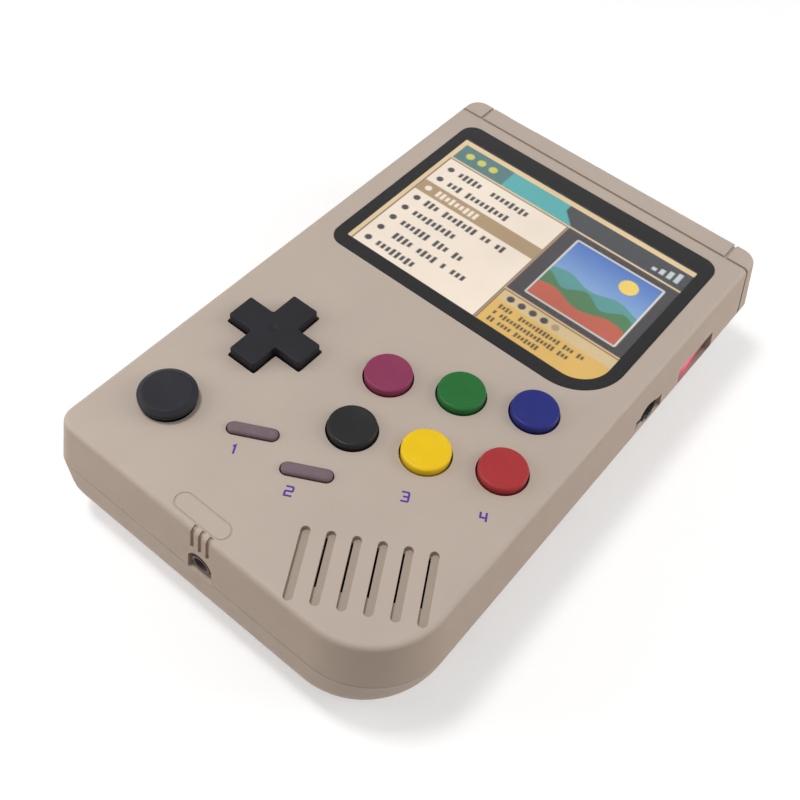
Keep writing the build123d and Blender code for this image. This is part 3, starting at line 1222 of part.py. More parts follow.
def heat_sink():
    """Finned heat sink on the processor, facing the air slots."""
    half = HEAT_SINK_SIZE / 2
    base_low = CHIP_UNDERSIDE - HEAT_SINK_BASE
    low = (PROCESSOR_X - half, COMPUTER_Y - half, base_low)
    high = (PROCESSOR_X + half, COMPUTER_Y + half, CHIP_UNDERSIDE)
    sink = block(low, high)
    pitch = (HEAT_SINK_SIZE - HEAT_SINK_FIN_THICKNESS) / (HEAT_SINK_FIN_COUNT - 1)
    for index in range(HEAT_SINK_FIN_COUNT):
        x = PROCESSOR_X - half + index * pitch
        fin_low = (x, COMPUTER_Y - half, CHIP_UNDERSIDE - HEAT_SINK_HEIGHT)
        sink += block(fin_low, (x + HEAT_SINK_FIN_THICKNESS, COMPUTER_Y + half, base_low))
    return sink


def memory_card():
    """Memory card under the left end of the computer."""
    edge_x = -COMPUTER_WIDTH / 2
    low = (edge_x, COMPUTER_Y - CARD_WIDTH / 2, COMPUTER_UNDERSIDE - CARD_THICKNESS)
    high = (edge_x + CARD_LENGTH, COMPUTER_Y + CARD_WIDTH / 2, COMPUTER_UNDERSIDE)
    return block(low, high)


def all_parts():
    """Every piece by its node name."""
    parts = {
        "front_shell": front_shell(),
        "rear_shell": rear_shell(),
        "shell_screws": shell_screws(),
        "screen_lens": screen_lens(),
        "lens_border": lens_border(),
        "display_panel": display_panel(),
        "display_frame": display_frame(),
        "display_pads": display_pads(),
        "display_ribbon": display_ribbon(),
        "display_connector": display_connector(),
        "control_board": control_board(),
        "board_screws": board_screws(),
        "board_chips": board_chips(),
        "button_membrane": membrane(round_centres().values(), DOME_RADIUS),
        "select_button": pill_button(SELECT_X),
        "start_button": pill_button(START_X),
        "pill_membrane": membrane([(SELECT_X, PILL_Y), (START_X, PILL_Y)], PILL_DOME_RADIUS),
        "cross_pad": cross_pad(),
        "cross_pivot": cross_pivot(),
        "cross_membrane": cross_membrane(),
        "stick_housing": stick_housing(),
        "stick_cover": stick_cover(),
        "stick_carriage": stick_carriage(),
        "stick_cap": stick_cap(),
        "speaker_frame": speaker_frame(),
        "speaker_cone": speaker_cone(),
        "speaker_magnet": speaker_magnet(),
        "speaker_gasket": speaker_gasket(),
        "headphone_socket": headphone_socket(),
        "volume_wheel": volume_wheel(),
        "volume_pot": volume_pot(),
        "light_block": light_block(),
        "charge_socket": charge_socket(),
        "charge_tongue": charge_tongue(),
        "switch_case": switch_case(),
        "switch_knob": switch_knob(),
        "battery_pack": battery_pack(),
        "battery_door": battery_door(),
        "computer_board": computer_board(),
        "pin_header": pin_header(),
        "computer_spacers": computer_spacers(),
        "computer_screws": computer_screws(),
        "computer_chips": computer_chips(),
        "heat_sink": heat_sink(),
        "memory_card": memory_card(),
    }
    for colour, (x, y) in round_centres().items():
        parts[colour + "_button"] = round_button(x, y)
    return parts


os.makedirs("parts", exist_ok=True)
for node, shape in all_parts().items():
    export_step(shape, "parts/" + node + ".step")
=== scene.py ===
import logging
import math
from dataclasses import dataclass
from enum import Enum
from typing import Sequence

import bpy
import numpy as np
from mathutils import Matrix, Quaternion, Vector


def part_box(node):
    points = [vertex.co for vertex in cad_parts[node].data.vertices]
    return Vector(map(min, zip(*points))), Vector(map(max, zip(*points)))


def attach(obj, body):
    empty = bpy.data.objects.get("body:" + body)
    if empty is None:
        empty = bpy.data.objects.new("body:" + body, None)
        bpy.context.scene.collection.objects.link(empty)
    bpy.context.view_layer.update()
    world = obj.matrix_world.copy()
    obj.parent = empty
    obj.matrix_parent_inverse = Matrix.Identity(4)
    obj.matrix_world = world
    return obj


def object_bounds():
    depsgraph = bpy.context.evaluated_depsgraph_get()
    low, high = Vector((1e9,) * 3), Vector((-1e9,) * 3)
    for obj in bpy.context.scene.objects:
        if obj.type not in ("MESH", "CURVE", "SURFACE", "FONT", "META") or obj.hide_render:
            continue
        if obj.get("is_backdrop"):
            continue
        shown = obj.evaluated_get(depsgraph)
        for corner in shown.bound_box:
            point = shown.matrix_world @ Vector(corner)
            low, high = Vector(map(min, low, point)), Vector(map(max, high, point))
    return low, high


LOG = logging.getLogger("console_scene")
MM = 0.001
Socket = bpy.types.NodeSocket
Rgb = tuple[int, int, int]


def linear(colour: Rgb) -> tuple[float, float, float]:
    """Turns a display colour of 0 to 255 into the linear values that shaders take.

    The rule is the standard one: a straight part near black and a power curve above it.

    Args:
        colour: red, green and blue as a screen shows them.

    Returns:
        The three linear values.
    """
    share = np.asarray(colour, dtype=float) / 255.0
    curve = np.where(share <= 0.04045, share / 12.92, ((share + 0.055) / 1.055) ** 2.4)
    return tuple(float(value) for value in curve)


def tint(colour: Rgb, amount: float) -> tuple[float, float, float, float]:
    """Makes a colour lighter or darker by a share of its linear value.

    Args:
        colour: the display colour.
        amount: the share to add, negative for darker.

    Returns:
        Linear red, green, blue and a full alpha.
    """
    red, green, blue = (min(1.0, value * (1.0 + amount)) for value in linear(colour))
    return (red, green, blue, 1.0)


class Grain(Enum):
    """The kinds of fine relief that a finish can carry."""

    MOULDED = "moulded"
    BRUSHED = "brushed"
    CELLS = "cells"
    FIBRES = "fibres"


class Graph:
    """A material's node tree, with short ways to add nodes and join them."""

    def __init__(self, name: str) -> None:
        """Starts a material with its main shader and its place on the object.

        Args:
            name: the material's name.
        """
        self.material = bpy.data.materials.new(name)
        self.material.use_nodes = True
        self.tree = self.material.node_tree
        self.shader = self.tree.nodes["Principled BSDF"]
        self.place = self.add("ShaderNodeTexCoord").outputs["Object"]

    def add(self, kind: str, **settings: object) -> bpy.types.Node:
        """Adds a node and sets its options.

        Args:
            kind: the node's type.
            **settings: its options by name.

        Returns:
            The new node.
        """
        node = self.tree.nodes.new(kind)
        for key, value in settings.items():
            setattr(node, key, value)
        return node

    def feed(self, node: bpy.types.Node, inputs: dict[str | int, object]) -> bpy.types.Node:
        """Joins sockets to a node's inputs, or sets their values.

        Args:
            node: the node that is fed.
            inputs: a socket or a plain value for each input.

        Returns:
            The same node.
        """
        for key, value in inputs.items():
            if isinstance(value, Socket):
                self.tree.links.new(value, node.inputs[key])
            else:
                node.inputs[key].default_value = value
        return node

    def math(self, operation: str, *values: Socket | float) -> Socket:
        """Adds a sum, product or other operation on one to three values."""
        node = self.add("ShaderNodeMath", operation=operation)
        return self.feed(node, dict(enumerate(values))).outputs[0]

    def mix(self, share: Socket | float, first: object, second: object) -> Socket:
        """Blends two colours by a share."""
        node = self.add("ShaderNodeMix", data_type="RGBA")
        return self.feed(node, {0: share, 6: first, 7: second}).outputs[2]

    def ramp(self, value: Socket, low: float, high: float, start: float = 0.0, end: float = 1.0) -> Socket:
        """Carries a value from one range into another, clamped at both ends.

        Args:
            value: the value to carry over.
            low: the value that gives start.
            high: the value that gives end.
            start: the result at low.
            end: the result at high.

        Returns:
            The new value.
        """
        node = self.add("ShaderNodeMapRange")
        return self.feed(node, {"Value": value, "From Min": low, "From Max": high,
                                "To Min": start, "To Max": end}).outputs[0]

    def stretched(self, scale: tuple[float, float, float]) -> Socket:
        """Stretches the place on the object along its axes."""
        return self.feed(self.add("ShaderNodeMapping"), {"Vector": self.place, "Scale": scale}).outputs[0]

    def noise(self, size: float, detail: float = 2.0, place: Socket | None = None) -> Socket:
        """Adds a cloud pattern with spots of a given size.

        Args:
            size: the spots' size in metres.
            detail: how many finer layers it has.
            place: where it is read, or nothing for the plain place.

        Returns:
            A value of about 0.3 to 0.7.
        """
        node = self.add("ShaderNodeTexNoise")
        return self.feed(node, {"Vector": place or self.place, "Scale": 1.0 / size, "Detail": detail}).outputs[0]

    def cells(self, size: float) -> Socket:
        """Adds a pattern of cells, as the distance from each cell's middle."""
        node = self.add("ShaderNodeTexVoronoi")
        return self.feed(node, {"Vector": self.place, "Scale": 1.0 / size}).outputs["Distance"]

    def bump(self, height: Socket, depth: float, under: Socket | None = None) -> Socket:
        """Turns a height pattern into a fine relief.

        Args:
            height: the pattern.
            depth: the relief's depth in metres.
            under: a relief that this one lies on.

        Returns:
            The bent surface direction.
        """
        node = self.add("ShaderNodeBump")
        values = {"Strength": 1.0, "Distance": depth, "Height": height}
        if under is not None:
            values["Normal"] = under
        return self.feed(node, values).outputs[0]


@dataclass(frozen=True)
class Finish:
    """A surface finish, from which one procedural material is made.

    Attributes:
        name: the material's name.
        colour: the display colour.
        roughness: 0 for a mirror, 1 for chalk.
        metallic: 1 for bare metal.
        drift: the share by which the colour drifts over the surface.
        drift_size: the size of that drift in metres.
        grain: the kind of fine relief.
        grain_size: the relief's size in metres.
        grain_depth: the relief's depth in metres.
        coat: how much clear gloss lies on top.
        specular: how strongly the plain surface mirrors.
    """

    name: str
    colour: Rgb
    roughness: float = 0.5
    metallic: float = 0.0
    drift: float = 0.05
    drift_size: float = 0.009
    grain: Grain = Grain.MOULDED
    grain_size: float = 0.00022
    grain_depth: float = 0.000006
    coat: float = 0.0
    specular: float = 0.16

    def paint(self, graph: Graph) -> Socket:
        """Gives the colour, which drifts a little from place to place.

        Args:
            graph: the material's nodes.

        Returns:
            The colour over the surface.
        """
        cloud = graph.ramp(graph.noise(self.drift_size, 4.0), 0.3, 0.7)
        return graph.mix(cloud, tint(self.colour, -self.drift), tint(self.colour, self.drift))

    def relief(self, graph: Graph) -> Socket:
        """Gives the height pattern of the fine relief.

        Args:
            graph: the material's nodes.

        Returns:
            The height over the surface.
        """
        if self.grain is Grain.CELLS:
            return graph.cells(self.grain_size)
        if self.grain is Grain.BRUSHED:
            return graph.noise(self.grain_size, 2.0, graph.stretched((0.04, 1.0, 1.0)))
        if self.grain is Grain.FIBRES:
            return graph.noise(self.grain_size, 4.0, graph.stretched((1.0, 0.25, 1.0)))
        return graph.noise(self.grain_size, 3.0)

    def dress(self, graph: Graph) -> None:
        """Adds what only some finishes have; the plain finish adds nothing."""

    def make(self) -> bpy.types.Material:
        """Makes the material.

        Returns:
            The material, with its colour, roughness and relief from nodes.
        """
        graph = Graph(f"{self.name}_finish")
        patches = graph.noise(self.drift_size * 0.4, 3.0)
        graph.feed(graph.shader, {
            "Base Color": self.paint(graph),
            "Roughness": graph.ramp(patches, 0.3, 0.7, self.roughness * 0.9, min(1.0, self.roughness * 1.1)),
            "Metallic": self.metallic,
            "Coat Weight": self.coat,
            "Coat Roughness": 0.15,
            "Specular IOR Level": self.specular,
            "Normal": graph.bump(self.relief(graph), self.grain_depth),
        })
        self.dress(graph)
        return graph.material


@dataclass(frozen=True)
class ShellFinish(Finish):
    """The case's satin plastic, with painted shade that makes its walls browner and darker, and a painted
    highlight in spots beside the joint.

    Attributes:
        joint_highlight_colour: the painted highlight's display colour beside the joint.
        wall_shade_colour: the painted shade's display colour on the upright walls, browner and darker than the
            face.
        joint_height: the height of the joint between the shells in metres.
        joint_highlight_band: how far from the joint the painted highlight reaches, in metres.
    """

    joint_highlight_colour: Rgb = (214, 203, 192)
    wall_shade_colour: Rgb = (182, 163, 148)
    joint_height: float = 0.0185
    joint_highlight_band: float = 0.0003

    def paint(self, graph: Graph) -> Socket:
        """Gives the drifting colour, with painted shade on the upright walls and a painted highlight beside the
        joint.

        How upright a wall is comes from the surface's own direction. The painted highlight follows how
        near a point lies to the joint's height, and clouds break it into spots.

        Args:
            graph: the material's nodes.

        Returns:
            The colour over the surface.
        """
        base = super().paint(graph)
        facing = graph.add("ShaderNodeTexCoord").outputs["Normal"]
        rise = graph.feed(graph.add("ShaderNodeSeparateXYZ"), {0: facing}).outputs[2]
        upright = graph.ramp(graph.math("ABSOLUTE", rise), 0.25, 0.9, 1.0, 0.0)
        height = graph.feed(graph.add("ShaderNodeSeparateXYZ"), {0: graph.place}).outputs[2]
        away = graph.math("ABSOLUTE", graph.math("SUBTRACT", height, self.joint_height))
        spots = graph.ramp(graph.noise(0.0025, 5.0), 0.5, 0.62, 0.0, 0.35)
        # Painted highlight: a lighter colour in spots along the joint's height, in place of the light that the
        # joint line catches.
        near = graph.math("MULTIPLY", graph.ramp(away, 0.0, self.joint_highlight_band, 1.0, 0.0), spots)
        specks = graph.ramp(graph.noise(0.0005, 1.0), 0.70, 0.77, 0.0, 0.14)
        # Painted shade: the upright walls take a browner, darker colour in place of the shade that falls on them.
        walls = graph.mix(upright, base, tint(self.wall_shade_colour, 0.0))
        marked = graph.mix(specks, walls, tint(self.colour, -0.22))
        return graph.mix(near, marked, tint(self.joint_highlight_colour, 0.0))


@dataclass(frozen=True)
class ButtonFinish(Finish):
    """Glossy moulded plastic, a little deeper in colour down its sides.

    Attributes:
        painted_hole_shade: the share by which the painted shade makes the sides darker.
        top: the height in metres where the full colour starts and the painted shade ends.
        fall: the height in metres over which the painted shade deepens.
    """

    painted_hole_shade: float = 0.28
    top: float = 0.0335
    fall: float = 0.0016

    def paint(self, graph: Graph) -> Socket:
        """Gives the colour, with painted shade deepening from the top down into the hole.

        Args:
            graph: the material's nodes.

        Returns:
            The colour over the surface.
        """
        base = super().paint(graph)
        split = graph.feed(graph.add("ShaderNodeSeparateXYZ"), {0: graph.place})
        # Painted shade: the sides darken below the top, where the hole's shade falls on them.
        deep = graph.ramp(split.outputs[2], self.top - self.fall, self.top, 1.0, 0.0)
        return graph.mix(graph.math("MULTIPLY", deep, 0.8), base, tint(self.colour, -self.painted_hole_shade))


@dataclass(frozen=True)
class ClearFinish(Finish):
    """Clear cast plastic, with a faint unevenness in its gloss."""

    def dress(self, graph: Graph) -> None:
        """Lets the light through, with no shadow on what lies under the plastic.

        Args:
            graph: the material's nodes.
        """
        graph.feed(graph.shader, {"Transmission Weight": 1.0, "IOR": 1.38})
        clear = graph.add("ShaderNodeBsdfTransparent").outputs[0]
        shaded = graph.add("ShaderNodeLightPath").outputs["Is Shadow Ray"]
        blend = graph.feed(graph.add("ShaderNodeMixShader"), {0: shaded, 1: graph.shader.outputs[0], 2: clear})
        graph.feed(graph.tree.nodes["Material Output"], {"Surface": blend.outputs[0]})


@dataclass(frozen=True)
class LitFinish(Finish):
    """Coloured clear plastic with lamps behind it.

    Attributes:
        glow: the display colour of its light.
        strength: how brightly it shines.
        middle: the lamps' place along the case in metres.
        reach: how far their light spreads in the plastic, in metres.
    """

    glow: Rgb = (255, 66, 120)
    strength: float = 1.0
    middle: float = 0.0
    reach: float = 0.008

    def dress(self, graph: Graph) -> None:
        """Adds the light, brightest beside the lamps."""
        split = graph.feed(graph.add("ShaderNodeSeparateXYZ"), {0: graph.place})
        away = graph.math("ABSOLUTE", graph.math("SUBTRACT", split.outputs[1], self.middle))
        light = graph.ramp(away, 0.0, self.reach)
        graph.feed(graph.shader, {
            "Emission Color": graph.mix(light, tint(self.glow, 0.0), (0.0, 0.0, 0.0, 1.0)),
            "Emission Strength": self.strength,
        })


@dataclass(frozen=True)
class PictureFinish(Finish):
    """The lit picture on the display, read from the colours on its own mesh.

    Attributes:
        attribute: the name of the mesh's colours.
        strength: how brightly it shines.
        rows: the spacing of the display's rows in metres.
    """

    attribute: str = "picture"
    strength: float = 1.0
    rows: float = 0.0002

    def dress(self, graph: Graph) -> None:
        """Adds the picture's light, with faint rows and a soft cloud of uneven light."""
        colours = graph.add("ShaderNodeAttribute", attribute_name=self.attribute)
        split = graph.feed(graph.add("ShaderNodeSeparateXYZ"), {0: graph.place})
        wave = graph.math("SINE", graph.math("MULTIPLY", split.outputs[1], 2.0 * math.pi / self.rows))
        lines = graph.ramp(wave, -1.0, 1.0, 0.0, 0.06)
        cloud = graph.ramp(graph.noise(0.02, 2.0), 0.3, 0.7, 0.0, 0.10)
        dim = graph.math("ADD", lines, cloud)
        graph.feed(graph.shader, {
            "Emission Color": graph.mix(dim, colours.outputs["Color"], (0.0, 0.0, 0.0, 1.0)),
            "Emission Strength": self.strength,
        })


@dataclass(frozen=True)
class BoardFinish(Finish):
    """A circuit board's lacquer, with tracks under it and bare pads.

    Attributes:
        track: the display colour of a track under the lacquer.
        pad: the display colour of a bare pad.
        pitch: the spacing of the tracks in metres.
    """

    track: Rgb = (60, 110, 150)
    pad: Rgb = (196, 170, 96)
    pitch: float = 0.0018

    def paint(self, graph: Graph) -> Socket:
        """Gives the lacquer, the tracks as the joints of a brick pattern, and round pads.

        Args:
            graph: the material's nodes.

        Returns:
            The colour over the surface.
        """
        brick = graph.add("ShaderNodeTexBrick", offset=0.5, offset_frequency=3, squash=0.6, squash_frequency=4)
        graph.feed(brick, {"Vector": graph.place, "Scale": 1.0, "Mortar Size": 0.00012,
                           "Brick Width": self.pitch * 3.0, "Row Height": self.pitch, "Mortar Smooth": 0.1})
        tracks = graph.mix(graph.math("MULTIPLY", brick.outputs["Fac"], 0.7),
                           super().paint(graph), tint(self.track, 0.0))
        pads = graph.ramp(graph.cells(self.pitch * 2.4), 0.14, 0.17, 1.0, 0.0)
        return graph.mix(pads, tracks, tint(self.pad, 0.0))


@dataclass(frozen=True)
class FilmFinish(Finish):
    """A shrunk film wrap with soft folds, over a broad pale band.

    Attributes:
        band: the display colour of the band.
        fold_size: the spacing of the folds in metres.
        band_pitch: the length in metres over which the band would come again.
    """

    band: Rgb = (168, 176, 184)
    fold_size: float = 0.004
    band_pitch: float = 0.05

    def relief(self, graph: Graph) -> Socket:
        """Gives the folds, as clouds drawn out across the wrap."""
        return graph.noise(self.fold_size, 2.0, graph.stretched((0.3, 1.6, 1.0)))

    def paint(self, graph: Graph) -> Socket:
        """Gives the wrap's colour and its band, which lies across the middle of its length.

        Args:
            graph: the material's nodes.

        Returns:
            The colour over the surface.
        """
        split = graph.feed(graph.add("ShaderNodeSeparateXYZ"), {0: graph.place})
        wave = graph.math("SINE", graph.math("MULTIPLY", split.outputs[1], 2.0 * math.pi / self.band_pitch))
        return graph.mix(graph.ramp(wave, -0.96, -0.94, 1.0, 0.0), super().paint(graph), tint(self.band, 0.0))


SHELL = ShellFinish("shell_plastic", (188, 174, 162), roughness=0.52, specular=0.3, drift=0.025, drift_size=0.014,
                    grain_size=0.00030, grain_depth=0.000007)
LENS = ClearFinish("clear_lens", (250, 250, 252), roughness=0.03, drift=0.0, grain_depth=0.0000004,
                   grain_size=0.006)
BORDER = Finish("black_print", (22, 20, 26), roughness=0.45, drift=0.15, grain_size=0.004,
                grain_depth=0.0000005)
PICTURE = PictureFinish("lit_picture", (10, 10, 12), roughness=0.35, grain_size=0.004, grain_depth=0.0000005)
PANEL = Finish("display_glass", (34, 36, 40), roughness=0.12, drift=0.08, grain_depth=0.0000004, coat=0.5)
TRAY = Finish("stamped_tray", (158, 158, 161), roughness=0.35, metallic=1.0, grain=Grain.BRUSHED)
FOAM = Finish("foam_pad", (38, 38, 40), roughness=0.95, grain=Grain.CELLS, grain_size=0.0005,
              grain_depth=0.00012)
FLEX = Finish("flex_film", (150, 100, 40), roughness=0.3, drift=0.1, grain_size=0.0004, coat=0.4)
WHITE = Finish("white_plastic", (217, 214, 204), roughness=0.45)
BOARD = BoardFinish("board_lacquer", (18, 46, 82), roughness=0.3, coat=0.4)
COMPUTER = BoardFinish("computer_lacquer", (14, 78, 42), roughness=0.3, coat=0.4, track=(44, 122, 70))
CHIP = Finish("chip_body", (24, 24, 26), roughness=0.6, drift=0.12, grain_size=0.00012)
RUBBER = Finish("membrane_rubber", (158, 158, 153), roughness=0.75, grain_depth=0.00001)
BLACK = Finish("moulded_black", (36, 36, 39), roughness=0.42, drift=0.1)
JACK = Finish("socket_plastic", (104, 86, 86), roughness=0.5, drift=0.08, drift_size=0.002)
STICK = Finish("stick_plastic", (39, 39, 45), roughness=0.48, drift=0.10, drift_size=0.004,
               grain_size=0.00018, grain_depth=0.000006)
PAD = Finish("pad_plastic", (34, 33, 38), roughness=0.5, drift=0.10, drift_size=0.005,
             grain_size=0.00018, grain_depth=0.000006)
PILL = Finish("soft_pill", (118, 101, 108), roughness=0.62, drift=0.05, drift_size=0.003,
              grain_size=0.00025, grain_depth=0.000006)
CONE = Finish("paper_cone", (36, 35, 36), roughness=0.85, drift=0.2, drift_size=0.001,
              grain=Grain.FIBRES, grain_size=0.0004, grain_depth=0.00004)
MAGNET = Finish("magnet_coat", (84, 84, 88), roughness=0.3, metallic=0.7, grain=Grain.BRUSHED)
SCREW = Finish("screw_steel", (148, 148, 151), roughness=0.28, metallic=1.0, drift=0.12, drift_size=0.0015,
               grain=Grain.BRUSHED, grain_size=0.0002)
KNOB = Finish("knob_plastic", (78, 75, 75), roughness=0.5, drift=0.08, drift_size=0.003)
BATTERY = FilmFinish("battery_wrap", (52, 66, 88), roughness=0.28, grain_depth=0.00008)
BRASS = Finish("turned_brass", (205, 170, 96), roughness=0.25, metallic=1.0, grain=Grain.BRUSHED)
SINK = Finish("anodised_sink", (172, 174, 178), roughness=0.38, metallic=1.0, grain_depth=0.000006)
INK = Finish("violet_ink", (88, 60, 158), roughness=0.5, drift=0.10, drift_size=0.0008, grain_size=0.0002)

BUTTON_COLOURS: dict[str, Rgb] = {
    "purple": (138, 54, 88),
    "green": (34, 106, 50),
    "blue": (38, 44, 122),
    "black": (34, 33, 34),
    "yellow": (241, 200, 26),
    "red": (170, 52, 56),
}


MADE: dict[str, bpy.types.Material] = {}


def material_of(finish: Finish) -> bpy.types.Material:
    """Gives a finish's material, which is made the first time it is asked for.

    Args:
        finish: the finish.

    Returns:
        Its one material.
    """
    if finish.name not in MADE:
        MADE[finish.name] = finish.make()
    return MADE[finish.name]


@dataclass
class Assembly:
    """A group of carried-over solids that are dressed together.

    Attributes:
        title: what the group is called in the log.
    """

    title: str

    def finishes(self) -> dict[str, Finish]:
        """Names each solid of the group with its finish."""
        return {}

    def dress(self) -> None:
        """Puts the finishes on the solids."""
        for node, finish in self.finishes().items():
            for slot in bpy.data.objects[node].material_slots:
                slot.material = material_of(finish)
            LOG.info("%s: %s wears %s", self.title, node, finish.name)

    def build(self) -> list[bpy.types.Object]:
        """Builds the group's new pieces; a plain group has none."""
        return []


def make_piece(name: str, points: np.ndarray, faces: Sequence[Sequence[int]], finish: Finish) -> bpy.types.Object:
    """Makes a mesh object in the CAD frame and gives it its finish; it rides on the main body.

    Args:
        name: the piece's name.
        points: the corners in metres, one row each.
        faces: each face's corners, turned so that it points outwards.
        finish: its finish.

    Returns:
        The new object.
    """
    mesh = bpy.data.meshes.new(name)
    mesh.from_pydata(points.tolist(), [], faces)
    mesh.validate()
    mesh.update()
    piece = bpy.data.objects.new(name, mesh)
    bpy.context.scene.collection.objects.link(piece)
    mesh.materials.append(material_of(finish))
    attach(piece, "body")
    LOG.info("built %s with %d faces", name, len(mesh.polygons))
    return piece


@dataclass
class Shell(Assembly):
    """The case: both shells, their screws and the battery door."""

    def finishes(self) -> dict[str, Finish]:
        """Names each solid of the case with its finish."""
        return {"front_shell": SHELL, "rear_shell": SHELL, "battery_door": SHELL, "shell_screws": SCREW}


@dataclass
class Painter:
    """Paints plain shapes into an array of colours over a flat sheet.

    Attributes:
        across: each point's place from the left in millimetres.
        along: each point's place from the bottom in millimetres.
        soft: the width in millimetres over which an edge fades.
        colours: the linear colours so far, one row of three for each point.
    """

    across: np.ndarray
    along: np.ndarray
    soft: float
    colours: np.ndarray

    def lay(self, distance: np.ndarray, colour: Rgb, strength: float = 1.0) -> None:
        """Lays a colour wherever the distance to a shape's edge is below nothing.

        Args:
            distance: the signed distance to the shape's edge, negative inside.
            colour: the display colour.
            strength: the share of the colour that is laid.
        """
        cover = (np.clip(0.5 - distance / self.soft, 0.0, 1.0) * strength)[:, None]
        self.colours = self.colours * (1.0 - cover) + np.array(linear(colour)) * cover

    def box_distance(self, left: float, bottom: float, right: float, top: float,
                     corner: float = 0.0) -> np.ndarray:
        """Gives the signed distance to a rectangle with round corners.

        The place is folded into one quarter about the middle, the corner's centre is taken off,
        and what is left is the length of the part outside plus the part inside.

        Args:
            left: its left edge.
            bottom: its bottom edge.
            right: its right edge.
            top: its top edge.
            corner: the corners' radius.

        Returns:
            The distance at each point.
        """
        beside = np.abs(self.across - (left + right) / 2) - ((right - left) / 2 - corner)
        above = np.abs(self.along - (bottom + top) / 2) - ((top - bottom) / 2 - corner)
        outside = np.hypot(np.maximum(beside, 0.0), np.maximum(above, 0.0))
        return outside + np.minimum(np.maximum(beside, above), 0.0) - corner

    def box(self, left: float, bottom: float, right: float, top: float, colour: Rgb,
            corner: float = 0.0, strength: float = 1.0) -> None:
        """Paints a filled rectangle."""
        self.lay(self.box_distance(left, bottom, right, top, corner), colour, strength)

    def frame(self, left: float, bottom: float, right: float, top: float, colour: Rgb,
              width: float = 0.35) -> None:
        """Paints a rectangle's outline."""
        self.lay(np.abs(self.box_distance(left, bottom, right, top)) - width / 2, colour)

    def disc(self, across: float, along: float, radius: float, colour: Rgb) -> None:
        """Paints a filled circle."""
        self.lay(np.hypot(self.across - across, self.along - along) - radius, colour)

    def ticks(self, left: float, middle: float, length: float, height: float, colour: Rgb,
              seed: int) -> None:
        """Paints a line of short upright ticks of two heights, in groups with gaps between them.

        Each point belongs to the tick that its place across falls in, and the distance is the
        larger of those to the tick's sides and to its ends.

        Args:
            left: where the line starts.
            middle: its middle along the sheet.
            length: its length.
            height: the taller ticks' height.
            colour: the display colour.
            seed: the seed of its groups.
        """
        pitch = 0.62 * height
        count = max(2, int(length / pitch))
        chance = np.random.default_rng(seed)
        tall = np.where(chance.random(count) < 0.4, 1.0, 0.72) * height / 2
        tall[chance.random(count) < 0.15] = -1.0
        number = np.clip(((self.across - left) / pitch).astype(int), 0, count - 1)
        beside = np.abs(self.across - left - (number + 0.5) * pitch) - pitch * 0.31
        above = np.abs(self.along - middle) - tall[number]
        self.lay(np.maximum(beside, above), colour)


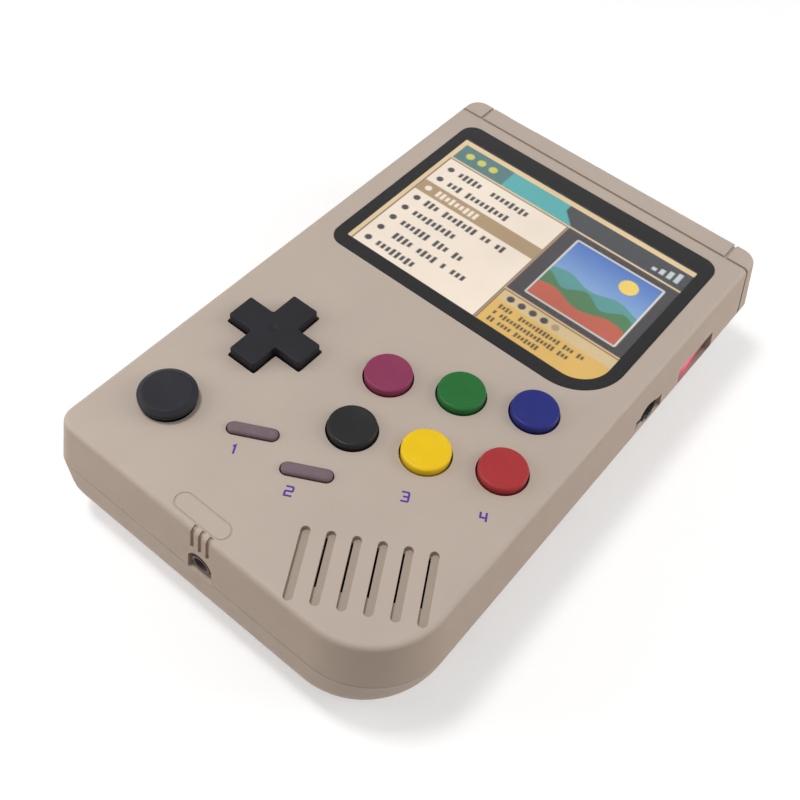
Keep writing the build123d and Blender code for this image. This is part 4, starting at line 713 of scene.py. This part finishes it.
@dataclass
class Screen(Assembly):
    """The lens, its printed border, and the display with its lit picture.

    Attributes:
        overlap: how far the picture reaches under the border, in millimetres.
        thickness: the lit layer's thickness in millimetres.
        cell: the spacing of the picture's colours in millimetres.
        rim: a width in millimetres that is less than the border's narrowest side.
    """

    overlap: float = 0.6
    thickness: float = 0.12
    cell: float = 0.21
    rim: float = 1.5

    def finishes(self) -> dict[str, Finish]:
        """Names each solid of the screen with its finish."""
        return {"screen_lens": LENS, "lens_border": BORDER, "display_panel": PANEL, "display_frame": TRAY,
                "display_pads": FOAM, "display_ribbon": FLEX, "display_connector": WHITE}

    def picture_colours(self, across: np.ndarray, along: np.ndarray, width: float,
                        height: float) -> np.ndarray:
        """Paints a plain menu: a list beside a small landscape, with a strip above and below.

        Args:
            across: each point's place from the window's left in millimetres.
            along: each point's place from the window's bottom in millimetres.
            width: the window's width in millimetres.
            height: the window's height in millimetres.

        Returns:
            The linear colours, one row for each point.
        """
        ground = np.tile(np.array(linear((240, 209, 158))), (len(across), 1))
        art = Painter(across, along, self.cell * 1.2, ground)
        dark, cream, tan, gold = (42, 36, 40), (253, 236, 214), (176, 146, 104), (228, 182, 84)
        teal, line, side = (70, 176, 176), (92, 56, 40), 0.8
        head = height - 7.2
        split = width * 0.53
        foot = 3.2
        art.box(side, head, width - side, height - 1.0, teal)
        art.box(split - 4.0, head, width - side, height - 1.0, (44, 46, 52))
        slant = (art.across - split) * 0.7 + (art.along - head) * 0.7
        art.lay(np.maximum(slant, art.box_distance(split - 9.0, head, split + 9.0, height - 1.0)), teal)
        art.box(side, head, 16.0, height - 1.0, (66, 104, 104), strength=0.85)
        for number in range(3):
            art.disc(4.2 + 3.6 * number, head + 3.1, 1.15, (214, 208, 74))
        for number in range(4):
            left = width - 11.0 + 2.0 * number
            art.box(left, head + 1.5, left + 1.2, head + 2.6 + 0.8 * number, (206, 214, 214))
        art.box(side, foot, split - 0.5, head - 0.7, cream)
        art.frame(side, foot, split - 0.5, head - 0.7, line)
        rows = 8
        pitch = (head - foot - 2.6) / rows
        lengths = 12.0 + 13.5 * (0.5 + 0.5 * np.sin(2.4 * np.arange(rows) + 0.6))
        for row in range(rows):
            middle = head - 2.0 - pitch * (row + 0.5)
            chosen = row == 2
            if chosen:
                art.box(1.0, middle - pitch * 0.48, split - 0.7, middle + pitch * 0.48, tan)
            ink = cream if chosen else dark
            art.disc(3.6, middle, 0.9, ink)
            art.ticks(6.0, middle, float(lengths[row]), 2.3, ink, row)
        art.box(split, foot + 12.6, width - side, head - 0.7, dark)
        art.frame(split, foot + 12.6, width - side, head - 0.7, line)
        self.landscape(art, split + 4.2, foot + 14.8, width - 5.0, head - 3.0)
        art.box(split, foot, width - side, foot + 11.9, gold)
        art.frame(split, foot, width - side, foot + 11.9, line)
        art.box(split + 0.3, foot + 8.4, width - 1.1, foot + 11.6, (219, 192, 140))
        for number in range(5):
            art.disc(split + 3.0 + 3.1 * number, foot + 10.0, 0.95, dark if number < 4 else tan)
        for number, share in enumerate((0.86, 0.74, 0.52)):
            middle = foot + 6.7 - 2.3 * number
            art.ticks(split + 2.0, middle, (width - split - 5.0) * share, 1.5, (62, 42, 22), 20 + number)
        art.box(side, 0.7, width - side, foot - 0.7, (243, 228, 204))
        for number in range(6):
            left = 4.0 + (width - 9.0) / 6.0 * number
            art.disc(left, 1.6, 0.6, (196, 150, 112))
            art.box(left + 1.4, 1.25, left + 6.2, 1.95, (206, 182, 150), 0.3)
        return art.colours

    @staticmethod
    def landscape(art: Painter, left: float, bottom: float, right: float, top: float) -> None:
        """Paints a small hill view: a sky that pales downwards, a sun, and three rolling hills.

        A hill is the part below a sine curve about its own level.

        Args:
            art: the picture so far.
            left: the view's left edge in millimetres.
            bottom: its bottom edge.
            right: its right edge.
            top: its top edge.
        """
        inside = art.box_distance(left, bottom, right, top)
        art.lay(inside - 0.5, (226, 222, 210))
        art.lay(inside, (58, 112, 196))
        fade = np.clip((top - art.along) / (top - bottom), 0.0, 1.0)
        cover = (np.clip(0.5 - inside / art.soft, 0.0, 1.0) * fade * 0.8)[:, None]
        art.colours = art.colours * (1.0 - cover) + np.array(linear((176, 214, 232))) * cover
        sun = np.hypot(art.across - (left + (right - left) * 0.72), art.along - (top - 4.6)) - 2.4
        art.lay(np.maximum(sun, inside), (250, 214, 92))
        levels = ((0.50, 0.9, 0.45, (72, 150, 146)), (0.36, 1.3, 0.6, (60, 120, 66)),
                  (0.2, 1.1, 0.38, (196, 84, 54)))
        for number, (share, rise, turn, colour) in enumerate(levels):
            crest = bottom + (top - bottom) * share + rise * np.sin(turn * art.across + 1.7 * number)
            art.lay(np.maximum(art.along - crest, inside), colour)

    def build(self) -> list[bpy.types.Object]:
        """Builds the lit layer on the display panel.

        It is a flat grid: a point's place goes in equal steps across and along the window, its
        colour comes from the painted menu at that place, and four long faces and a bottom close it.

        Returns:
            The lit layer.
        """
        panel_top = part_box("display_panel")[1].z
        border_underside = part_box("lens_border")[0].z
        window = self.window()
        left, bottom = window[0] - self.overlap * MM, window[1] - self.overlap * MM
        right, top = window[2] + self.overlap * MM, window[3] + self.overlap * MM
        columns = int((right - left) / (self.cell * MM)) + 1
        rows = int((top - bottom) / (self.cell * MM)) + 1
        across, along = np.meshgrid(np.linspace(left, right, columns), np.linspace(bottom, top, rows))
        base = min(panel_top, border_underside - self.thickness * MM)
        level = np.full(across.size, base + self.thickness * MM)
        points = np.column_stack([across.ravel(), along.ravel(), level])
        index = np.arange(rows * columns).reshape(rows, columns)
        faces = np.stack([index[:-1, :-1], index[:-1, 1:], index[1:, 1:], index[1:, :-1]], axis=-1)
        corners = points[[index[0, 0], index[0, -1], index[-1, -1], index[-1, 0]]].copy()
        corners[:, 2] = base
        first = len(points)
        edges = [index[0, :], index[:, -1], index[-1, ::-1], index[::-1, 0]]
        skirts = [[first + side, first + (side + 1) % 4] + edge[::-1].tolist() for side, edge in enumerate(edges)]
        closed = faces.reshape(-1, 4).tolist() + skirts + [[first + 3, first + 2, first + 1, first]]
        piece = make_piece("display_picture", np.vstack([points, corners]), closed, PICTURE)
        place = (np.vstack([points, corners]) - np.array([window[0], window[1], 0.0])) / MM
        colours = self.picture_colours(place[:, 0], place[:, 1], (window[2] - window[0]) / MM,
                                       (window[3] - window[1]) / MM)
        layer = piece.data.color_attributes.new(PICTURE.attribute, "FLOAT_COLOR", "POINT")
        layer.data.foreach_set("color", np.column_stack([colours, np.ones(len(colours))]).ravel())
        return [piece]

    def window(self) -> tuple[float, float, float, float]:
        """Finds the clear window in the printed border, from the border's own inner outline.

        Each side's places are sorted, and the first that lies further in than the rim's round
        outer corners reach along the border's middle lines is the window's edge.

        Returns:
            The window's left, bottom, right and top in metres.
        """
        mesh = bpy.data.objects["lens_border"].data
        places = np.empty(len(mesh.vertices) * 3)
        mesh.vertices.foreach_get("co", places)
        plan = places.reshape(-1, 3)[:, :2]
        low, high = plan.min(axis=0), plan.max(axis=0)
        inside = np.all((plan > low + self.rim * MM) & (plan < high - self.rim * MM), axis=1)
        left, bottom = plan[inside].min(axis=0)
        right, top = plan[inside].max(axis=0)
        return (float(left), float(bottom), float(right), float(top))


@dataclass
class Buttons(Assembly):
    """The six round buttons and the two pills, with the rubber sheets under them."""

    def finishes(self) -> dict[str, Finish]:
        """Names each button and rubber sheet with its finish."""
        rounds: dict[str, Finish] = {
            f"{name}_button": ButtonFinish(f"{name}_button_plastic", colour, roughness=0.36, drift=0.03,
                                           drift_size=0.004, grain_depth=0.000002, coat=0.05)
            for name, colour in BUTTON_COLOURS.items()
        }
        return rounds | {"select_button": PILL, "start_button": PILL, "button_membrane": RUBBER,
                         "pill_membrane": RUBBER}


@dataclass
class CrossPad(Assembly):
    """The cross pad, the pivot that it rocks on, and its rubber sheet."""

    def finishes(self) -> dict[str, Finish]:
        """Names each solid of the cross pad with its finish."""
        return {"cross_pad": PAD, "cross_pivot": BLACK, "cross_membrane": RUBBER}


@dataclass
class Stick(Assembly):
    """The sliding stick with its cap, carriage, cover and housing."""

    def finishes(self) -> dict[str, Finish]:
        """Names each solid of the stick with its finish."""
        return {"stick_cap": STICK, "stick_carriage": BLACK, "stick_cover": TRAY, "stick_housing": BLACK}


@dataclass
class Speaker(Assembly):
    """The small round speaker behind the slots."""

    def finishes(self) -> dict[str, Finish]:
        """Names each solid of the speaker with its finish."""
        return {"speaker_frame": BLACK, "speaker_cone": CONE, "speaker_magnet": MAGNET, "speaker_gasket": FOAM}


@dataclass
class EdgeFittings(Assembly):
    """The sockets, wheel, switch and light that sit in the sides.

    Attributes:
        light_shift: how far the lamps sit below the block's middle, as a share of its length.
        light_reach: how far their light spreads, as a share of its length.
    """

    light_shift: float = 0.12
    light_reach: float = 0.42

    def finishes(self) -> dict[str, Finish]:
        """Names each edge fitting with its finish."""
        low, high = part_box("light_block")
        length = high.y - low.y
        lit = LitFinish("red_light_plastic", (104, 48, 54), roughness=0.25, coat=0.1, strength=0.9,
                        middle=(low.y + high.y) / 2 - self.light_shift * length, reach=self.light_reach * length)
        return {"headphone_socket": JACK, "volume_wheel": BLACK, "volume_pot": BLACK, "switch_case": BLACK,
                "switch_knob": KNOB, "light_block": lit, "charge_socket": SINK, "charge_tongue": BLACK}


@dataclass
class Electronics(Assembly):
    """The control board, the small computer with its heat sink, and the battery."""

    def finishes(self) -> dict[str, Finish]:
        """Names each inner solid with its finish."""
        return {"control_board": BOARD, "board_screws": SCREW, "board_chips": CHIP, "computer_board": COMPUTER,
                "computer_chips": CHIP, "computer_spacers": BRASS, "computer_screws": SCREW,
                "pin_header": BLACK, "heat_sink": SINK, "memory_card": BLACK, "battery_pack": BATTERY}


def carry(path: np.ndarray, half_width: float, low: float, high: float) -> tuple[np.ndarray, list[list[int]]]:
    """Carries a flat rectangular profile along a path that lies level.

    At each point of the path, the sideways direction is the mean of the two runs' own, made
    longer at a corner by one over the cosine of half its turn, so that the width stays even.

    Args:
        path: the path's points in metres, one row of two for each.
        half_width: half the profile's width in metres.
        low: the profile's underside in metres.
        high: its top side in metres.

    Returns:
        The corners and the faces of a closed bar.
    """
    runs = np.diff(path, axis=0)
    runs /= np.linalg.norm(runs, axis=1)[:, None]
    sideways = np.column_stack([-runs[:, 1], runs[:, 0]])
    mean = np.vstack([sideways[:1], sideways[:-1] + sideways[1:], sideways[-1:]])
    mean /= np.linalg.norm(mean, axis=1)[:, None]
    own = np.vstack([sideways[:1], sideways])
    reach = half_width / np.sum(mean * own, axis=1)[:, None]
    left, right = path + mean * reach, path - mean * reach
    count = len(path)
    rings = [np.column_stack([side, np.full(count, level)])
             for side, level in ((right, low), (left, low), (left, high), (right, high))]
    points = np.concatenate(rings)
    steps = np.arange(count - 1)
    faces: list[list[int]] = [[0, count, 2 * count, 3 * count]]
    for ring in range(4):
        here, there = ring * count, ((ring + 1) % 4) * count
        faces += np.column_stack([here + steps, here + steps + 1, there + steps + 1, there + steps]).tolist()
    last = count - 1
    faces.append([3 * count + last, 2 * count + last, count + last, last])
    return points, faces


@dataclass
class FaceMarks(Assembly):
    """Plain numbers, printed in violet beside the pills and the lower buttons.

    Attributes:
        tilt: the numbers' turn in degrees, which the pills share.
        height: a number's height in millimetres.
        width: its width in millimetres.
        stroke: its strokes' width in millimetres.
        rise: the ink's height above the face in millimetres.
    """

    tilt: float = 28.6
    height: float = 2.1
    width: float = 1.5
    stroke: float = 0.42
    rise: float = 0.02

    @staticmethod
    def strokes(number: int) -> list[list[tuple[float, float]]]:
        """Gives a number's strokes in a square of one by one.

        Args:
            number: one to four.

        Returns:
            Each stroke's points from the lower left corner.
        """
        return {
            1: [[(0.25, 0.85), (0.55, 1.0), (0.55, 0.0)]],
            2: [[(0.0, 1.0), (0.9, 1.0), (1.0, 0.9), (1.0, 0.6), (0.9, 0.5), (0.1, 0.5), (0.0, 0.4),
                 (0.0, 0.0), (1.0, 0.0)]],
            3: [[(0.0, 1.0), (0.9, 1.0), (1.0, 0.9), (1.0, 0.1), (0.9, 0.0), (0.0, 0.0)],
                [(0.25, 0.5), (0.85, 0.5)]],
            4: [[(0.0, 1.0), (0.0, 0.4), (0.65, 0.4)], [(0.8, 1.0), (0.8, 0.0)]],
        }[number]

    def places(self) -> dict[int, tuple[float, float]]:
        """Finds each number's middle from the pills and the round buttons.

        Returns:
            The middle of each number in metres.
        """
        found: dict[int, tuple[float, float]] = {}
        beside = {1: ("select_button", 0.2, -5.6), 2: ("start_button", 0.3, -5.5),
                  3: ("yellow_button", 3.2, -10.7), 4: ("red_button", 3.3, -10.8)}
        for number, (node, across, along) in beside.items():
            low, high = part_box(node)
            found[number] = ((low.x + high.x) / 2 + across * MM, (low.y + high.y) / 2 + along * MM)
        return found

    def build(self) -> list[bpy.types.Object]:
        """Builds the four numbers as one thin print on the face.

        Returns:
            The print.
        """
        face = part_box("front_shell")[1].z
        turn = math.radians(self.tilt)
        spin = np.array([[math.cos(turn), math.sin(turn)], [-math.sin(turn), math.cos(turn)]])
        points: list[np.ndarray] = []
        faces: list[list[int]] = []
        first = 0
        for number, middle in self.places().items():
            for stroke in self.strokes(number):
                flat = (np.array(stroke) - 0.5) * np.array([self.width, self.height]) * MM
                corners, sides = carry(flat @ spin + np.array(middle), self.stroke * MM / 2,
                                       face - self.rise * MM, face + self.rise * MM)
                points.append(corners)
                faces += [[corner + first for corner in side] for side in sides]
                first += len(corners)
        return [make_piece("face_numbers", np.vstack(points), faces, INK)]


def plainly_seen(tree: bpy.types.NodeTree) -> Socket:
    """Tells whether a ray comes from the camera, off a glossy surface or through a clear one.

    Args:
        tree: the nodes that the test is added to.

    Returns:
        One for such a ray, and nothing for any other.
    """
    path = tree.nodes.new("ShaderNodeLightPath")
    either = path.outputs["Is Camera Ray"]
    for name in ("Is Glossy Ray", "Is Transmission Ray"):
        larger = tree.nodes.new("ShaderNodeMath")
        larger.operation = "MAXIMUM"
        tree.links.new(either, larger.inputs[0])
        tree.links.new(path.outputs[name], larger.inputs[1])
        either = larger.outputs[0]
    return either


@dataclass(frozen=True)
class Lamp:
    """A square lamp over the console.

    Attributes:
        name: its name.
        direction: where it stands, seen from the console.
        distance: how far it stands in metres.
        size: its width in metres.
        level: the light level that it gives on a surface that faces it.
    """

    name: str
    direction: tuple[float, float, float]
    distance: float
    size: float
    level: float


@dataclass
class Studio:
    """The floor, the lamps, the world and the camera.

    Attributes:
        floor_half: half the floor's size in metres.
        floor_lift: the light that the floor gives off where it is plainly seen.
        ambient: the world's plain light level.
        warmth: the lamps' colour.
        lamps: the main lamp and the soft ones on both sides.
        camera_place: the camera's place in millimetres.
        camera_target: the point on the face that it looks at, in millimetres.
        camera_roll: its roll in degrees.
        camera_lens: its focal length in millimetres on a 36 mm frame.
    """

    floor_half: float = 3.0
    floor_lift: float = 0.38
    ambient: float = 0.33
    warmth: tuple[float, float, float] = (1.0, 0.985, 0.965)
    lamps: tuple[Lamp, ...] = (
        Lamp("key_lamp", (-0.24, -0.14, 0.96), 0.70, 0.12, 0.39),
        Lamp("right_lamp", (0.74, 0.52, 0.40), 0.60, 0.40, 0.40),
        Lamp("left_lamp", (-0.68, -0.60, 0.38), 0.32, 0.20, 0.29),
    )
    camera_place: tuple[float, float, float] = (77.48, -132.96, 209.53)
    camera_target: tuple[float, float, float] = (5.49, -21.06, 32.0)
    camera_roll: float = 7.768
    camera_lens: float = 47.9

    def build_floor(self) -> bpy.types.Object:
        """Lays the pale floor, which shows the camera white with the console's soft shadow."""
        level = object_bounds()[0].z
        half = self.floor_half
        points = [(-half, -half, level), (half, -half, level), (half, half, level), (-half, half, level)]
        mesh = bpy.data.meshes.new("studio_floor")
        mesh.from_pydata(points, [], [(0, 1, 2, 3)])
        floor = bpy.data.objects.new("studio_floor", mesh)
        bpy.context.scene.collection.objects.link(floor)
        graph = Graph("floor_paper")
        seen = plainly_seen(graph.tree)
        paper = graph.mix(graph.noise(0.5), tint((224, 224, 226), 0.0), tint((226, 226, 227), 0.0))
        graph.feed(graph.shader, {
            "Base Color": graph.mix(seen, tint((206, 202, 196), 0.0), paper),
            "Roughness": 0.9, "Specular IOR Level": 0.1,
            "Emission Color": (1.0, 1.0, 1.0, 1.0),
            "Emission Strength": graph.math("MULTIPLY", seen, self.floor_lift),
        })
        mesh.materials.append(graph.material)
        floor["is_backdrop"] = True
        return floor

    def build_world(self) -> None:
        """Sets an even world light, which the camera and reflections see as white."""
        world = bpy.data.worlds.new("studio_world")
        world.use_nodes = True
        tree = world.node_tree
        tree.nodes.clear()
        plain = tree.nodes.new("ShaderNodeBackground")
        plain.inputs["Strength"].default_value = self.ambient
        white = tree.nodes.new("ShaderNodeBackground")
        white.inputs["Strength"].default_value = 1.0
        for node in (plain, white):
            node.inputs["Color"].default_value = (1.0, 1.0, 1.0, 1.0)
        choose = tree.nodes.new("ShaderNodeMixShader")
        tree.links.new(plainly_seen(tree), choose.inputs[0])
        tree.links.new(plain.outputs[0], choose.inputs[1])
        tree.links.new(white.outputs[0], choose.inputs[2])
        out = tree.nodes.new("ShaderNodeOutputWorld")
        tree.links.new(choose.outputs[0], out.inputs[0])
        bpy.context.scene.world = world

    def build_lamp(self, plan: Lamp) -> None:
        """Hangs one lamp, aimed at the console.

        A lamp's power for a wanted level is the level times pi squared times its distance squared.

        Args:
            plan: the lamp's place, size and level.
        """
        low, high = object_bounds()
        towards = Vector(plan.direction).normalized()
        lamp = bpy.data.lights.new(plan.name, "AREA")
        lamp.shape = "SQUARE"
        lamp.size = plan.size
        lamp.energy = plan.level * math.pi ** 2 * plan.distance ** 2
        lamp.color = self.warmth
        piece = bpy.data.objects.new(plan.name, lamp)
        piece.location = (low + high) / 2 + towards * plan.distance
        piece.rotation_mode = "QUATERNION"
        piece.rotation_quaternion = (-towards).to_track_quat("-Z", "Y")
        bpy.context.scene.collection.objects.link(piece)

    def build_camera(self) -> None:
        """Sets the camera at the viewing place, aimed and rolled as measured."""
        camera = bpy.data.cameras.new("main_camera")
        camera.lens = self.camera_lens
        camera.sensor_width = 36.0
        camera.clip_start = 0.01
        piece = bpy.data.objects.new("main_camera", camera)
        place = Vector(self.camera_place) * MM
        aim = (Vector(self.camera_target) * MM - place).to_track_quat("-Z", "Y")
        roll = Quaternion((0.0, 0.0, 1.0), math.radians(self.camera_roll))
        piece.matrix_world = Matrix.Translation(place) @ (aim @ roll).to_matrix().to_4x4()
        bpy.context.scene.collection.objects.link(piece)
        bpy.context.scene.camera = piece

    def build(self) -> None:
        """Builds the whole studio."""
        self.build_floor()
        self.build_world()
        for lamp in self.lamps:
            self.build_lamp(lamp)
        self.build_camera()
        bpy.context.scene.view_settings.view_transform = "Standard"


def main() -> None:
    logging.basicConfig(level=logging.INFO, format="%(message)s")
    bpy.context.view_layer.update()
    assemblies: list[Assembly] = [
        Shell("case"), Screen("screen"), Buttons("buttons"), CrossPad("cross pad"), Stick("stick"),
        Speaker("speaker"), EdgeFittings("edge fittings"), Electronics("electronics"), FaceMarks("face numbers"),
    ]
    for assembly in assemblies:
        assembly.dress()
        for piece in assembly.build():
            LOG.info("%s: added %s", assembly.title, piece.name)
    Studio().build()


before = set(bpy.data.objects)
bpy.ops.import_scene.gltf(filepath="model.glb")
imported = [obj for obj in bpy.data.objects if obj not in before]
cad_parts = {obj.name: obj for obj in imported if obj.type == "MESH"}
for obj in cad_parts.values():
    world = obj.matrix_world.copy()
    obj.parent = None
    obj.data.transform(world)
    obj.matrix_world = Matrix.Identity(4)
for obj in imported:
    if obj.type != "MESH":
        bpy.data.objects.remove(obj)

if __name__ == "__main__":
    main()
